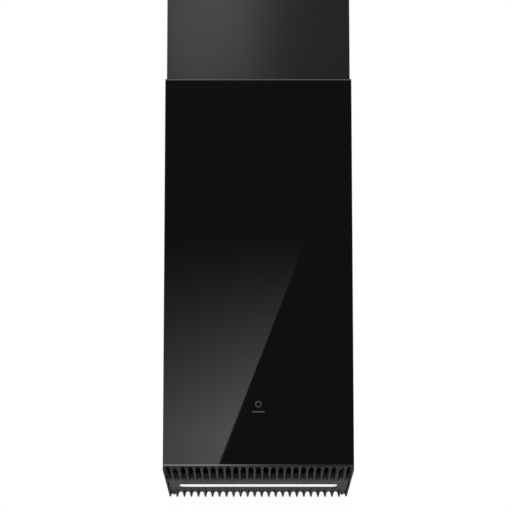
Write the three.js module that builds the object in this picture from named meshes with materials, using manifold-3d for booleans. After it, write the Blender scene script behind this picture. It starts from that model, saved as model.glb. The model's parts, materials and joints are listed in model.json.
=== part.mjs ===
// A wall-mounted recirculating cooker hood: a slim black column that draws kitchen air in through a
// comb grille under it, cleans it in a grease filter and two carbon cartridges, and blows it out at the
// top. Millimetres, +Z up. X runs along the wall, Y = 0 is the wall and the front glass faces -Y.
// Heights are counted from the tips of the comb's fins; the last lines put the origin at the hanging height.

import * as THREE from "three";
import { mergeVertices } from "three/addons/utils/BufferGeometryUtils.js";
import Module from "manifold-3d";

// ---- Driving dimensions -------------------------------------------------------------------------
const WIDTH = 320; // over the side panels and the glass
const DEPTH = 385; // wall to the front of the glass
const BODY_TOP = 677; // top of the body
const PANEL_TOP = 675.5; // top of the side and back panels, under the top plate
const RIM = 10; // lower edge of the sheet metal body
const HANG_HEIGHT = 610; // the origin: hanging point on the wall face
const SHEET = 1; // body sheet metal
const GAP = 0.3; // clearance between pieces that touch
const GLASS = 4; // glass thickness
const GLASS_BOTTOM = 8;
const BEVEL_HIGH = 2.6; // polished bevel on the glass's top and bottom edges
const BEVEL_DEEP = 1.6;

const FINS = 26;
const FIN_TIP = 2.8; // width of a fin at its lower edge
const FIN_ROOT = 5.4; // width of a fin where its arches begin
const FIN_HIGH = 9;
const FIN_BACK = 0.1; // the fins stand back this far from the outline of the two rims
const ARCH_FRONT = 7.1; // top of the arches between the fins, at the front and rear rims
const ARCH_REAR = 9.4;
const ARCH_STEPS = 3;
const RIM_DEEP = 3.8; // depth of the front rim along Y
const APRON = { low: 5, high: 10, bend: -62, thick: 1.5 }; // closes the comb behind the lamp bar
const COMB_TOP = 14; // top of the comb's upstand, inside the body
const COMB_CROSS = 157; // the comb's cross bars end inside its outer fins
const COMB_SIDE = { inner: 155.3, outer: 158.3, low: 7.2 }; // the comb's upright side walls
const COMB_REAR = -3;
const COMB_FRONT = -DEPTH + 1;
const UPSTAND = { half: 154, front: -377.2, rear: -371 };
const REAR_RIM = -11; // front face of the comb's rear rim
const HINGE = { y: -12, z: 6, pin: 1.6, ring: 3.3 }; // the comb's hinge axis, moulded pins and their arms
const ARM = { inner: 149.4, outer: 152.6 };
const REAR_HALF = 158.4; // the comb's rear rim swings up between the side panels

const LAMP_FRONT = -243; // the lamp bar's place in the comb
const LAMP_REAR = -142;
const LAMP_WALL = 4; // the comb's cross bars before and behind the lamp bar
const LENS = { half: 137, y: -177, wide: 26 };

const BLOWER = { y: -190, z: 330 }; // the impeller's axis
const SCROLL_HALF = 76.5; // half the scroll's width along X
const SCROLL_WALL = 1.5;
const INLET_RADIUS = 80;
const WHEEL_RADIUS = 98;
const RING_INNER = 90; // the wheel's end rings
const SHAFT_RADIUS = 4;
const SHAFT_BORE = 4.4;
const BLADES = 24;
const BLADE_ANGLE = 0.6; // how far the blades lean, in radians
const OUTLET = { front: -160, rear: -34, top: 560 };
const COLLAR = { y: -110, radius: 75, wall: 2, bottom: 640.3, top: 740, flange: 92 };
const DAMPER_Z = 704;

const COVER_LOW = { half: 157.5, front: -378, top: 977, sheet: 1 };
const COVER_HIGH = { half: 155.6, front: -376.1, bottom: 700, top: 1040, sheet: 1 };

const HALF = WIDTH / 2;
const INSIDE = HALF - SHEET; // inner face of a side panel
const CARRIER_FRONT = -DEPTH + GLASS + GAP;
const SIDE_FRONT = CARRIER_FRONT + SHEET + GAP;
const FLANGE_IN = 146; // inner edge of the side panels' rear flanges
const FAR = 1200; // reach of a tool that cuts right through

// ---- Geometry helpers ---------------------------------------------------------------------------
const wasm = await Module();
wasm.setup();
const { Manifold } = wasm;

// A closed geometry as a solid, with its faces turned outwards.
function solid(geometry) {
  if (geometry instanceof Manifold) return geometry;
  const bare = geometry.clone();
  for (const name of Object.keys(bare.attributes)) if (name !== "position") bare.deleteAttribute(name);
  const merged = mergeVertices(bare, 1e-4);
  const build = (triVerts) =>
    new Manifold(new wasm.Mesh({ numProp: 3, vertProperties: merged.attributes.position.array, triVerts }));
  const made = build(new Uint32Array(merged.index.array));
  return made.volume() > 0 ? made : build(new Uint32Array(merged.index.array).reverse());
}

function join(...pieces) {
  return pieces.map(solid).reduce((whole, piece) => whole.add(piece));
}

function cut(piece, ...tools) {
  return tools.reduce((rest, tool) => rest.subtract(solid(tool)), solid(piece));
}

function geometryOf(made) {
  const mesh = made.getMesh();
  const positions = new Float32Array(mesh.numVert * 3);
  for (let i = 0; i < mesh.numVert; i++) {
    positions.set(mesh.vertProperties.subarray(i * mesh.numProp, i * mesh.numProp + 3), i * 3);
  }
  const geometry = new THREE.BufferGeometry();
  geometry.setAttribute("position", new THREE.BufferAttribute(positions, 3));
  geometry.setIndex(new THREE.BufferAttribute(new Uint32Array(mesh.triVerts), 1));
  geometry.computeVertexNormals();
  return geometry;
}

function box(x0, x1, y0, y1, z0, z1) {
  const geometry = new THREE.BoxGeometry(x1 - x0, y1 - y0, z1 - z0);
  return geometry.translate((x0 + x1) / 2, (y0 + y1) / 2, (z0 + z1) / 2);
}

const vector = (x, y, z) => new THREE.Vector3(x, y, z);

// An outline pushed along an axis. Its points are (y, z) along x, (x, z) along y and (x, y) along z.
function prism(axis, points, from, to) {
  const shape = new THREE.Shape(points.map(([u, v]) => new THREE.Vector2(u, v)));
  const geometry = new THREE.ExtrudeGeometry(shape, { depth: to - from, bevelEnabled: false });
  const turn = new THREE.Matrix4();
  if (axis === "x") {
    turn.makeBasis(vector(0, 1, 0), vector(0, 0, 1), vector(1, 0, 0));
    turn.setPosition(from, 0, 0);
  } else if (axis === "y") {
    turn.makeBasis(vector(1, 0, 0), vector(0, 0, 1), vector(0, -1, 0));
    turn.setPosition(0, to, 0);
  } else {
    turn.setPosition(0, 0, from);
  }
  return geometry.applyMatrix4(turn);
}

// A profile of (radius, height) points turned about an axis through (a, b), the other two coordinates.
function turned(axis, profile, a, b, segments) {
  const points = profile.map(([r, h]) => new THREE.Vector2(r, h));
  const onAxis = profile[0][0] === 0;
  if (!onAxis) points.push(points[0].clone());
  const geometry = new THREE.LatheGeometry(points, segments);
  if (axis === "x") return geometry.rotateZ(-Math.PI / 2).translate(0, a, b);
  if (axis === "y") return geometry.translate(a, 0, b);
  return geometry.rotateX(Math.PI / 2).translate(a, b, 0);
}

function rod(axis, radius, from, to, a, b, segments = 16) {
  return turned(axis, [[0, from], [radius, from], [radius, to], [0, to]], a, b, segments);
}

function tube(axis, outer, inner, from, to, a, b, segments = 24) {
  return turned(axis, [[inner, from], [outer, from], [outer, to], [inner, to]], a, b, segments);
}

const mirrorX = (made) => solid(made).mirror([1, 0, 0]);

// ---- Materials ----------------------------------------------------------------------------------
function material(color, roughness, metalness, extra = {}) {
  return new THREE.MeshStandardMaterial({ color, roughness, metalness, ...extra });
}

const blackGlass = material(0x0c0c0d, 0.05, 0);
const blackPaint = material(0x1b1b1d, 0.45, 0.3);
const coverPaint = material(0x3a3a3b, 0.38, 0.5);
const combPaint = material(0x2c2c2e, 0.42, 0.3);
const galvanised = material(0xa9adb0, 0.45, 0.9);
const aluminium = material(0xc9cbcc, 0.35, 0.95);
const blackPlastic = material(0x202021, 0.55, 0);
const greyPlastic = material(0x8c9194, 0.55, 0);
const steel = material(0x8e9296, 0.35, 0.95);
const diffuserPlastic = material(0xffffff, 0.4, 0, { emissive: 0xffffff, emissiveIntensity: 1 });
const boardGreen = material(0x1e5a35, 0.5, 0);
const carbonBlack = material(0x17181a, 0.8, 0);
const magnetGrey = material(0x55585b, 0.5, 0.6);

const hood = new THREE.Group();
hood.position.z = -HANG_HEIGHT;

function add(name, made, look) {
  const mesh = new THREE.Mesh(geometryOf(solid(made)), look);
  mesh.name = name;
  hood.add(mesh);
}

function addPair(name, right, look) {
  add(name + "_right", right, look);
  add(name + "_left", mirrorX(right), look);
}

// ---- Body: glass, carrier, panels ---------------------------------------------------------------
function frontGlass() {
  const face = -DEPTH;
  const back = face + GLASS;
  const profile = [
    [back, GLASS_BOTTOM], [back, BODY_TOP], [face + BEVEL_DEEP, BODY_TOP], [face, BODY_TOP - BEVEL_HIGH],
    [face, GLASS_BOTTOM + BEVEL_HIGH], [face + BEVEL_DEEP, GLASS_BOTTOM],
  ];
  return prism("x", profile, -HALF, HALF);
}

const CARRIER = { half: 158.5, low: 16, high: 675 };
const TOUCH = { half: 45, low: 90, high: 132 };
const TOUCH_MARGIN = { x: 7, z: 5 }; // the window round the touch board

function glassCarrier() {
  const { half, low, high } = CARRIER;
  const plate = box(-half, half, CARRIER_FRONT, CARRIER_FRONT + SHEET, low, high);
  const reach = TOUCH.half + TOUCH_MARGIN.x;
  const window = box(-reach, reach, -FAR, FAR, TOUCH.low - TOUCH_MARGIN.z, TOUCH.high + TOUCH_MARGIN.z);
  return cut(plate, window);
}

function sidePanel() {
  const outline = [
    [HALF, SIDE_FRONT], [HALF, 0], [FLANGE_IN, 0], [FLANGE_IN, -SHEET], [INSIDE, -SHEET],
    [INSIDE, SIDE_FRONT + SHEET], [FLANGE_IN + 1, SIDE_FRONT + SHEET], [FLANGE_IN + 1, SIDE_FRONT],
  ];
  return prism("z", outline, RIM, PANEL_TOP);
}

const HOOK = { in: 88, out: 122, low: 560, top: 591 };
const FIXING = { x: 110, half: 9, low: 66, high: 72 }; // slots for the lower wall screws

function backPanel() {
  const reach = FLANGE_IN - 0.4;
  const plate = box(-reach, reach, -SHEET, 0, RIM, PANEL_TOP);
  const windows = [[-HOOK.out, -HOOK.in], [HOOK.in, HOOK.out]].map(([x0, x1]) =>
    box(x0 - 4, x1 + 4, -FAR, FAR, HOOK.low - 4, HOOK.top + 6));
  const slots = [-FIXING.x, FIXING.x].map((x) =>
    box(x - FIXING.half, x + FIXING.half, -FAR, FAR, FIXING.low, FIXING.high));
  return cut(plate, ...windows, ...slots);
}

const GLAND = { x: -115, y: -40, radius: 7.9, bore: 4.5 };

function topPlate() {
  const plate = box(-HALF, HALF, SIDE_FRONT, 0, BODY_TOP - SHEET, BODY_TOP);
  return cut(
    plate,
    rod("z", COLLAR.radius + 3, 0, FAR, 0, COLLAR.y, 32),
    rod("z", GLAND.radius + 0.4, 0, FAR, GLAND.x, GLAND.y),
  );
}

const RAIL = { half: 158.3, low: 36, high: 56, rear: -362, sheet: 1.5 };

function frontRail() {
  const { half, low, high, rear, sheet } = RAIL;
  const front = SIDE_FRONT + SHEET + GAP;
  const outline = [
    [front, low], [rear, low], [rear, low + sheet], [front + sheet, low + sheet], [front + sheet, high],
    [front, high],
  ];
  return prism("x", outline, -half, half);
}

add("front_glass", frontGlass(), blackGlass);
add("glass_carrier", glassCarrier(), blackPaint);
addPair("side_panel", sidePanel(), blackPaint);
add("back_panel", backPanel(), galvanised);
add("top_plate", topPlate(), galvanised);
add("front_rail", frontRail(), galvanised);

// ---- Hanging on the wall ------------------------------------------------------------------------
const HANGER_Z = HOOK.top + 6;
const HOOK_SHELF = { front: -42, thick: 3, lip: 3, plate: 2.5 };
const HANGER = { in: 84, out: 130, front: -38, rear: -1.5, plate: 2.5, high: 42 };
const LEVEL = { x: 105, y: -24, radius: 3, head: 5.5 }; // the levelling screw's axis

function wallHook() {
  const { front, thick, lip, plate } = HOOK_SHELF;
  const wallPlate = box(HOOK.in, HOOK.out, -plate, 0, HOOK.low, HOOK.top);
  const shelf = box(HOOK.in, HOOK.out, front, 0, HOOK.top - thick, HOOK.top);
  const frontLip = box(HOOK.in, HOOK.out, front, front + 2, HOOK.top - thick, HOOK.top + lip);
  const wallHole = rod("y", 3.5, -10, 10, LEVEL.x, HOOK.low + 11, 12);
  return cut(join(wallPlate, shelf, frontLip), wallHole);
}

function hangingBracket() {
  const { front, rear, plate, high } = HANGER;
  const shelf = box(HANGER.in, HANGER.out, front, rear, HANGER_Z, HANGER_Z + plate);
  const flange = box(HANGER.in, HANGER.out, rear - plate, rear, HANGER_Z, HANGER_Z + high);
  return cut(join(shelf, flange), rod("z", LEVEL.radius + 0.4, 0, FAR, LEVEL.x, LEVEL.y, 12));
}

function levellingScrew() {
  const shank = rod("z", LEVEL.radius, HOOK.top + GAP, HANGER_Z + 20, LEVEL.x, LEVEL.y, 12);
  const head = prism("z", hexagon(LEVEL.x, LEVEL.y, LEVEL.head), HANGER_Z + 14, HANGER_Z + 19);
  return join(shank, head);
}

function hexagon(x, y, radius) {
  return [...Array(6).keys()].map((i) => {
    const angle = (i * Math.PI) / 3;
    return [x + radius * Math.cos(angle), y + radius * Math.sin(angle)];
  });
}

addPair("wall_hook", wallHook(), galvanised);
addPair("hanging_bracket", hangingBracket(), galvanised);
addPair("levelling_screw", levellingScrew(), steel);

// ---- Comb grille --------------------------------------------------------------------------------
const PITCH = (WIDTH - FIN_TIP) / (FINS - 1);
const finX = (i) => -HALF + FIN_TIP / 2 + i * PITCH;

// The comb seen from the front: tapered fins with round arches between them, under a plate.
function combSection(archTop, half, top) {
  const radius = (PITCH - FIN_ROOT) / 2;
  const spring = archTop - radius; // where an arch begins
  const points = [[-half, top], [-half, 0]];
  for (let i = 0; i < FINS - 1; i++) {
    points.push([finX(i) + FIN_TIP / 2, 0]);
    const middle = finX(i) + PITCH / 2;
    for (let step = 0; step <= ARCH_STEPS; step++) {
      const angle = Math.PI - (step * Math.PI) / ARCH_STEPS;
      points.push([middle + radius * Math.cos(angle), spring + radius * Math.sin(angle)]);
    }
    points.push([finX(i + 1) - FIN_TIP / 2, 0]);
  }
  return [...points, [half, 0], [half, top]];
}

function fin(i, from, to) {
  const x = finX(i);
  const [tip, root] = [FIN_TIP / 2, FIN_ROOT / 2];
  const inside = (value) => Math.max(FIN_BACK - HALF, Math.min(HALF - FIN_BACK, value));
  const [low, high] = [[x - tip, x + tip].map(inside), [x - root, x + root].map(inside)];
  const outline = [[low[0], FIN_BACK], [low[1], FIN_BACK], [high[1], FIN_HIGH], [high[0], FIN_HIGH]];
  return prism("y", outline, from, to);
}

// A plate between the rear fins, level behind the lamp bar and rising to the tops of the rear arches.
function apron() {
  const { low, high, bend, thick } = APRON;
  const [front, rear] = [LAMP_REAR + 3, REAR_RIM - 0.5];
  const outline = [
    [front, low], [bend, low], [rear, high], [rear, high + thick], [bend, low + thick], [front, low + thick],
  ];
  const armSlots = [[-ARM.outer, -ARM.inner], [ARM.inner, ARM.outer]].map(([x0, x1]) =>
    box(x0 - 0.5, x1 + 0.5, -50, REAR_RIM + 1, 0, COMB_TOP));
  return cut(prism("x", outline, -COMB_CROSS, COMB_CROSS), ...armSlots);
}

function combGrille() {
  const frontSection = combSection(ARCH_FRONT, HALF, GLASS_BOTTOM - GAP);
  const rearSection = combSection(ARCH_REAR, REAR_HALF, COMB_TOP);
  const frontRim = prism("y", frontSection, COMB_FRONT, COMB_FRONT + RIM_DEEP);
  const finFront = COMB_FRONT + RIM_DEEP - 0.5;
  const upstand = box(-UPSTAND.half, UPSTAND.half, UPSTAND.front, UPSTAND.rear, FIN_HIGH - 0.5, COMB_TOP);
  const armReliefs = [[-ARM.outer, -ARM.inner], [ARM.inner, ARM.outer]].map(([x0, x1]) =>
    rod("x", HINGE.ring + 0.7, x0 - 0.8, x1 + 0.8, HINGE.y, HINGE.z));
  const rearRim = cut(prism("y", rearSection, REAR_RIM, COMB_REAR), ...armReliefs);
  const pieces = [frontRim, upstand, rearRim, apron()];
  for (const y of [LAMP_FRONT - LAMP_WALL, LAMP_REAR]) {
    pieces.push(box(-COMB_CROSS, COMB_CROSS, y, y + LAMP_WALL, 0.2, COMB_TOP - 1));
  }
  for (let i = 1; i < FINS - 1; i++) {
    pieces.push(fin(i, finFront, LAMP_FRONT - 3));
    pieces.push(fin(i, LAMP_REAR + 3, REAR_RIM + 1));
  }
  for (const side of [-1, 1]) {
    const outer = side < 0 ? 0 : FINS - 1;
    const between = (near, far) => (side < 0 ? [-far, -near] : [near, far]);
    const wall = between(COMB_SIDE.inner, COMB_SIDE.outer);
    pieces.push(fin(outer, finFront, REAR_RIM + 1));
    pieces.push(box(...wall, UPSTAND.front, COMB_REAR - 4, COMB_SIDE.low, COMB_TOP - 0.5));
    pieces.push(rod("x", HINGE.pin, ...between(ARM.inner - 2.4, COMB_CROSS), HINGE.y, HINGE.z, 12));
  }
  return join(...pieces);
}

// A swan-necked steel arm on the side panel. It reaches back between two fins to one of the comb's pins.
function hingeBracket() {
  const { y, z, pin, ring } = HINGE;
  const { inner, outer } = ARM;
  const foot = { front: -58, rear: -34, low: 48, high: 60 };
  const neck = [
    [y, z - 3.2], [-31, z - 3.2], [-35, 7], [-39, 40], [foot.front, foot.low], [foot.front, foot.high],
    [foot.rear, foot.high], [-28, 40], [-25.5, 8.5], [-22, z + 1], [y, z + 1],
  ];
  const arm = join(prism("x", neck, inner, outer), rod("x", ring, inner, outer, y, z, 16));
  const lug = box(inner, INSIDE - GAP, foot.front, foot.rear, foot.low, foot.high);
  return cut(join(arm, lug), rod("x", pin + 0.5, 0, FAR, y, z, 12));
}

add("comb_grille", combGrille(), combPaint);
addPair("hinge_bracket", hingeBracket(), blackPaint);

const CATCH = { in: 112, out: 138, split: 16.1 }; // the keeper's side and the magnet's meet at split
addPair("catch_keeper", box(CATCH.in, CATCH.out, -376.7, -371.5, COMB_TOP + GAP, CATCH.split - GAP), steel);
addPair("catch_magnet", box(CATCH.in, CATCH.out, -377, -367, CATCH.split + GAP, RAIL.low - GAP), magnetGrey);

// ---- Lamp bar in the comb -----------------------------------------------------------------------
const TRAY = { half: 154.8, wall: 1.2, low: 0.2, high: 16, floor: 1.6 };

function lampHousing() {
  const { half, wall, low, high, floor } = TRAY;
  const [y0, y1] = [LAMP_FRONT + 0.5, LAMP_REAR - 0.5];
  const hollow = box(-half + wall, half - wall, y0 + wall, y1 - wall, floor, FAR);
  const [lensX, lensY] = [LENS.half + 0.4, LENS.wide / 2 + 0.4];
  const window = box(-lensX, lensX, LENS.y - lensY, LENS.y + lensY, -5, 5);
  return cut(box(-half, half, y0, y1, low, high), hollow, window);
}

function lampChannel() {
  const half = LENS.wide / 2 + 2;
  const [front, rear, low, high, wall] = [LENS.y - half, LENS.y + half, 2, 14.5, 1.5];
  const outline = [
    [front, low], [front, high], [rear, high], [rear, low], [rear - wall, low], [rear - wall, high - wall],
    [front + wall, high - wall], [front + wall, low],
  ];
  return prism("x", outline, -LENS.half - 4, LENS.half + 4);
}

const LEDS = { count: 12, pitch: 23, half: 2.5, board: 11 };

function ledBoard() {
  const { count, pitch, half, board: under } = LEDS;
  const board = box(-LENS.half, LENS.half, LENS.y - 8, LENS.y + 8, under, under + 1.6);
  const chips = [...Array(count).keys()].map((i) => {
    const x = (i - (count - 1) / 2) * pitch;
    return box(x - half, x + half, LENS.y - half, LENS.y + half, under - 1, under + 0.2);
  });
  return join(board, ...chips);
}

function lampDiffuser() {
  const half = LENS.wide / 2;
  return box(-LENS.half, LENS.half, LENS.y - half, LENS.y + half, -0.6, 1.7);
}

add("lamp_housing", lampHousing(), combPaint);
add("lamp_channel", lampChannel(), aluminium);
add("led_board", ledBoard(), boardGreen);
add("lamp_diffuser", lampDiffuser(), diffuserPlastic);

// ---- Grease filter in the comb's tray -----------------------------------------------------------
const FILTER = { half: 147, front: -360, rear: -34, low: 16.4, high: 26, bar: 16, pleats: 20 };
const BAIL = { y: -350, z: 29, half: 32, reach: 34, wire: 1.5 };

function filterFrame() {
  const { half, front, rear, low, high, bar } = FILTER;
  const window = box(-half + bar, half - bar, front + bar, rear - bar, low - 5, high + 5);
  const frame = cut(box(-half, half, front, rear, low, high), window);
  const eyes = [-1, 1].map((side) => {
    const x = side * (BAIL.half - 8);
    const ear = box(x - 2, x + 2, BAIL.y - 4, BAIL.y + 4, high - 1, BAIL.z + 4);
    return cut(ear, rod("x", BAIL.wire + 0.4, -FAR, FAR, BAIL.y, BAIL.z, 10));
  });
  return join(frame, ...eyes);
}

// The expanded metal, as one pleated sheet.
function filterMesh() {
  const { half, front, rear, low, high, bar } = FILTER;
  const reach = half - bar - 0.4;
  const [valley, ridge] = [low + 1.6, high - 2.6];
  const edge = [...Array(FILTER.pleats * 2 + 1).keys()].map((i) => {
    const x = -reach + (i * reach) / FILTER.pleats;
    return [x, i % 2 ? ridge : valley];
  });
  const upper = edge.map(([x, z]) => [x, z + 1]).reverse();
  return prism("y", [...edge, ...upper], front + bar + 0.4, rear - bar - 0.4);
}

function filterHandle() {
  const { y, z, half, reach, wire } = BAIL;
  const legs = [-1, 1].map((side) => rod("y", wire, y, y + reach, side * half, z, 8));
  const trunnions = [-1, 1].map((side) => {
    const [a, b] = side < 0 ? [-half, -half + 14] : [half - 14, half];
    return rod("x", wire, a, b, y, z, 8);
  });
  return join(...legs, ...trunnions, rod("x", wire, -half, half, y + reach, z, 8));
}

add("filter_frame", filterFrame(), aluminium);
add("filter_mesh", filterMesh(), aluminium);
add("filter_handle", filterHandle(), steel);

// ---- Blower -------------------------------------------------------------------------------------
const TONGUE = (65 * Math.PI) / 180; // where the spiral starts, from +Y towards +Z
const SPIRAL = { start: 106, end: BLOWER.y * -1 + OUTLET.rear, steps: 22 };

// The scroll's outline, drawn in by inset, with its outlet reaching up to top.
function scrollOutline(inset, top) {
  const points = [[OUTLET.rear - inset, top]];
  for (let i = 0; i <= SPIRAL.steps; i++) {
    const angle = 2 * Math.PI - (i * (2 * Math.PI - TONGUE)) / SPIRAL.steps;
    const share = (angle - TONGUE) / (2 * Math.PI - TONGUE);
    const radius = SPIRAL.start + (SPIRAL.end - SPIRAL.start) * share - inset;
    points.push([BLOWER.y + radius * Math.cos(angle), BLOWER.z + radius * Math.sin(angle)]);
  }
  points.push([OUTLET.front + inset, top]);
  return points.reverse();
}

function scrollHalf() {
  const outer = prism("x", scrollOutline(0, OUTLET.top), 0.2, SCROLL_HALF);
  const hollow = prism("x", scrollOutline(SCROLL_WALL, OUTLET.top + 9), -5, SCROLL_HALF - SCROLL_WALL);
  const inlet = rod("x", INLET_RADIUS, 60, FAR, BLOWER.y, BLOWER.z, 28);
  return cut(outer, hollow, inlet);
}

function impeller() {
  const { y, z } = BLOWER;
  const inner = WHEEL_RADIUS - 16;
  const disc = cut(rod("x", WHEEL_RADIUS, 10, 12, y, z, 28), rod("x", SHAFT_BORE, 0, 20, y, z, 12));
  const rings = [[-66, -64], [64, 66]].map(([a, b]) => tube("x", WHEEL_RADIUS, RING_INNER, a, b, y, z, 28));
  const hub = tube("x", 14, SHAFT_BORE, 11, 28, y, z, 16);
  const blades = [...Array(BLADES).keys()].map((i) => {
    const blade = new THREE.BoxGeometry(129.5, 15, 1.4);
    blade.rotateX(BLADE_ANGLE).translate(0, (inner + WHEEL_RADIUS) / 2, 0);
    return blade.rotateX((i * 2 * Math.PI) / BLADES).translate(0, y, z);
  });
  return join(disc, ...rings, hub, ...blades);
}

function impellerNut() {
  const { y, z } = BLOWER;
  return cut(prism("x", hexagon(y, z, 8), 28.4, 34), rod("x", SHAFT_RADIUS + GAP, -FAR, FAR, y, z, 12));
}

function motor() {
  const [can, bore] = [52, SHAFT_RADIUS + 0.8];
  const profile = [
    [0, -62], [30, -62], [38, -56], [can, -52], [can, -8], [38, -2], [16, 2], [bore, 2], [bore, -56],
    [0, -56],
  ];
  return turned("x", profile, BLOWER.y, BLOWER.z, 20);
}

function motorBracket() {
  const { y, z } = BLOWER;
  const arms = [0, 1, 2].map((i) => {
    const arm = new THREE.BoxGeometry(3, 76, 13).translate(-78.6, 58, 0);
    return arm.rotateX((i * 2 * Math.PI) / 3 + Math.PI / 2).translate(0, y, z);
  });
  return join(rod("x", 28, -80, -62.4, y, z, 18), ...arms);
}

const CARTRIDGE = { radius: 112, inner: 90, face: 117, hub: 46, grip: 5 };

function carbonFilter() {
  const { y, z } = BLOWER;
  const { radius, inner, face, hub, grip } = CARTRIDGE;
  const profile = [
    [0, inner], [radius - 2, inner], [radius, inner + 2], [radius, face - 3], [radius - 4, face], [hub, face],
    [hub - 4, face + 3], [0, face + 3],
  ];
  const grips = [0, 1, 2, 3].map((i) => {
    const bar = new THREE.BoxGeometry(grip, 60, grip).translate(face + 2, 72, 0);
    return bar.rotateX((i * Math.PI) / 2).translate(0, y, z);
  });
  return join(turned("x", profile, y, z, 24), ...grips);
}

const MOUNT = { half: 60, low: 380, step: 480, high: 520, front: -3.6, rear: -1.5, sheet: 2 };

// A bent strip from the scroll's back to the back panel.
function blowerMount() {
  const { half, low, step, high, front: wallFront, rear, sheet } = MOUNT;
  const front = OUTLET.rear + GAP;
  const outline = [
    [front, low], [front, step], [wallFront, step], [wallFront, high], [rear, high], [rear, step - sheet],
    [front + sheet, step - sheet], [front + sheet, low],
  ];
  return prism("x", outline, -half, half);
}

addPair("scroll_half", scrollHalf(), blackPlastic);
add("impeller", impeller(), blackPlastic);
add("motor_shaft", rod("x", SHAFT_RADIUS, -55, 36, BLOWER.y, BLOWER.z, 12), steel);
add("impeller_nut", impellerNut(), steel);
add("motor", motor(), magnetGrey);
add("motor_bracket", motorBracket(), galvanised);
add("motor_capacitor", rod("x", 14, -30, 30, -172.2, 520, 16), greyPlastic);
addPair("inlet_ring", tube("x", 102.5, 99.5, SCROLL_HALF + GAP, 89.6, BLOWER.y, BLOWER.z, 24), blackPlastic);
addPair("carbon_filter", carbonFilter(), carbonBlack);
add("blower_mount", blowerMount(), galvanised);

// ---- Outlet: adapter, collar and non-return flaps -----------------------------------------------
const ADAPTER_POINTS = 32;

function roundRing(radius, y, z) {
  return [...Array(ADAPTER_POINTS).keys()].map((i) => {
    const angle = (i * 2 * Math.PI) / ADAPTER_POINTS;
    return [radius * Math.cos(angle), y + radius * Math.sin(angle), z];
  });
}

// A rectangle's points in step with those of a circle round its middle.
function squareRing(halfX, halfY, y, z) {
  return roundRing(1, 0, z).map(([c, s]) => {
    const reach = 1 / Math.max(Math.abs(c) / halfX, Math.abs(s) / halfY);
    return [c * reach, y + s * reach, z];
  });
}

// A closed solid through rings of equally many points, capped at both ends.
function loft(rings) {
  const count = rings[0].length;
  const positions = rings.flat(2);
  const index = [];
  for (let level = 0; level < rings.length - 1; level++) {
    for (let i = 0; i < count; i++) {
      const [a, b] = [level * count + i, level * count + ((i + 1) % count)];
      index.push(a, b, b + count, a, b + count, a + count);
    }
  }
  const last = (rings.length - 1) * count;
  for (let i = 1; i < count - 1; i++) index.push(0, i + 1, i, last, last + i, last + i + 1);
  const geometry = new THREE.BufferGeometry();
  geometry.setAttribute("position", new THREE.BufferAttribute(new Float32Array(positions), 3));
  geometry.setIndex(index);
  return geometry;
}

const ADAPTER = { square: 20, round: 636, top: 656, clear: 2.2, wall: 1.6 };

function outletAdapter() {
  const middle = (OUTLET.front + OUTLET.rear) / 2;
  const halfDeep = (OUTLET.rear - OUTLET.front) / 2;
  const low = OUTLET.top + GAP;
  const shape = (inset, from, to) => loft([
    squareRing(SCROLL_HALF - inset, halfDeep - inset, middle, from),
    squareRing(SCROLL_HALF - inset, halfDeep - inset, middle, low + ADAPTER.square),
    roundRing(COLLAR.radius + ADAPTER.clear - inset, COLLAR.y, ADAPTER.round),
    roundRing(COLLAR.radius + ADAPTER.clear - inset, COLLAR.y, to),
  ]);
  return cut(shape(0, low, ADAPTER.top), shape(ADAPTER.wall, low - 9, ADAPTER.top + 9));
}

function outletCollar() {
  const { radius, wall, top, bottom, flange } = COLLAR;
  const inner = radius - wall;
  const seat = BODY_TOP + GAP;
  const [stopTop, stopLow] = [DAMPER_Z - 5, DAMPER_Z - 7]; // the flaps rest on this ring
  const profile = [
    [inner, bottom], [radius, bottom], [radius, seat], [flange, seat], [flange, seat + 1.5],
    [radius, seat + 1.5], [radius, top], [inner, top], [inner, stopTop], [inner - 4.5, stopTop],
    [inner - 4.5, stopLow], [inner, stopLow],
  ];
  return turned("z", profile, 0, COLLAR.y, 28);
}

const FLAP = { radius: 71.3, low: DAMPER_Z - 4.4, high: DAMPER_Z - 3, knuckle: 3.2, bore: 1.9, long: 12 };
const KNUCKLES = { rear: [-46, 18], front: [-18, 46] }; // their middles along the pin

// A half disc with two knuckles on the damper pin; side is +1 towards the wall and -1 towards the room.
function damperFlap(side) {
  const { radius, low, high, knuckle, bore, long } = FLAP;
  const along = (near, far) => [COLLAR.y + side * near, COLLAR.y + side * far].sort((a, b) => a - b);
  const disc = rod("z", radius, low, high, 0, COLLAR.y, 28);
  const half = solid(disc).intersect(solid(box(-FAR, FAR, ...along(1.2, FAR), 0, FAR)));
  const [own, other] = side > 0 ? [KNUCKLES.rear, KNUCKLES.front] : [KNUCKLES.front, KNUCKLES.rear];
  const knuckles = own.flatMap((x) => {
    const leaf = box(x - long, x + long, ...along(bore, 6), low, DAMPER_Z - 0.8);
    return [tube("x", knuckle, bore, x - long, x + long, COLLAR.y, DAMPER_Z, 12), leaf];
  });
  const relief = other.map((x) => rod("x", 4, x - long - 1, x + long + 1, COLLAR.y, DAMPER_Z, 12));
  return cut(join(half, ...knuckles), ...relief, rod("x", bore, -80, 80, COLLAR.y, DAMPER_Z, 12));
}

add("outlet_adapter", outletAdapter(), blackPlastic);
add("outlet_collar", outletCollar(), blackPlastic);
add("damper_pin", rod("x", 1.5, -72.4, 72.4, COLLAR.y, DAMPER_Z, 10), steel);
add("damper_flap_rear", damperFlap(1), greyPlastic);
add("damper_flap_front", damperFlap(-1), greyPlastic);

// ---- Electronics and mains inlet ----------------------------------------------------------------
const CONTROL = { half: 96, low: 500, high: 640, front: SIDE_FRONT + 1, rear: -346, wall: 2 };

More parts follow.
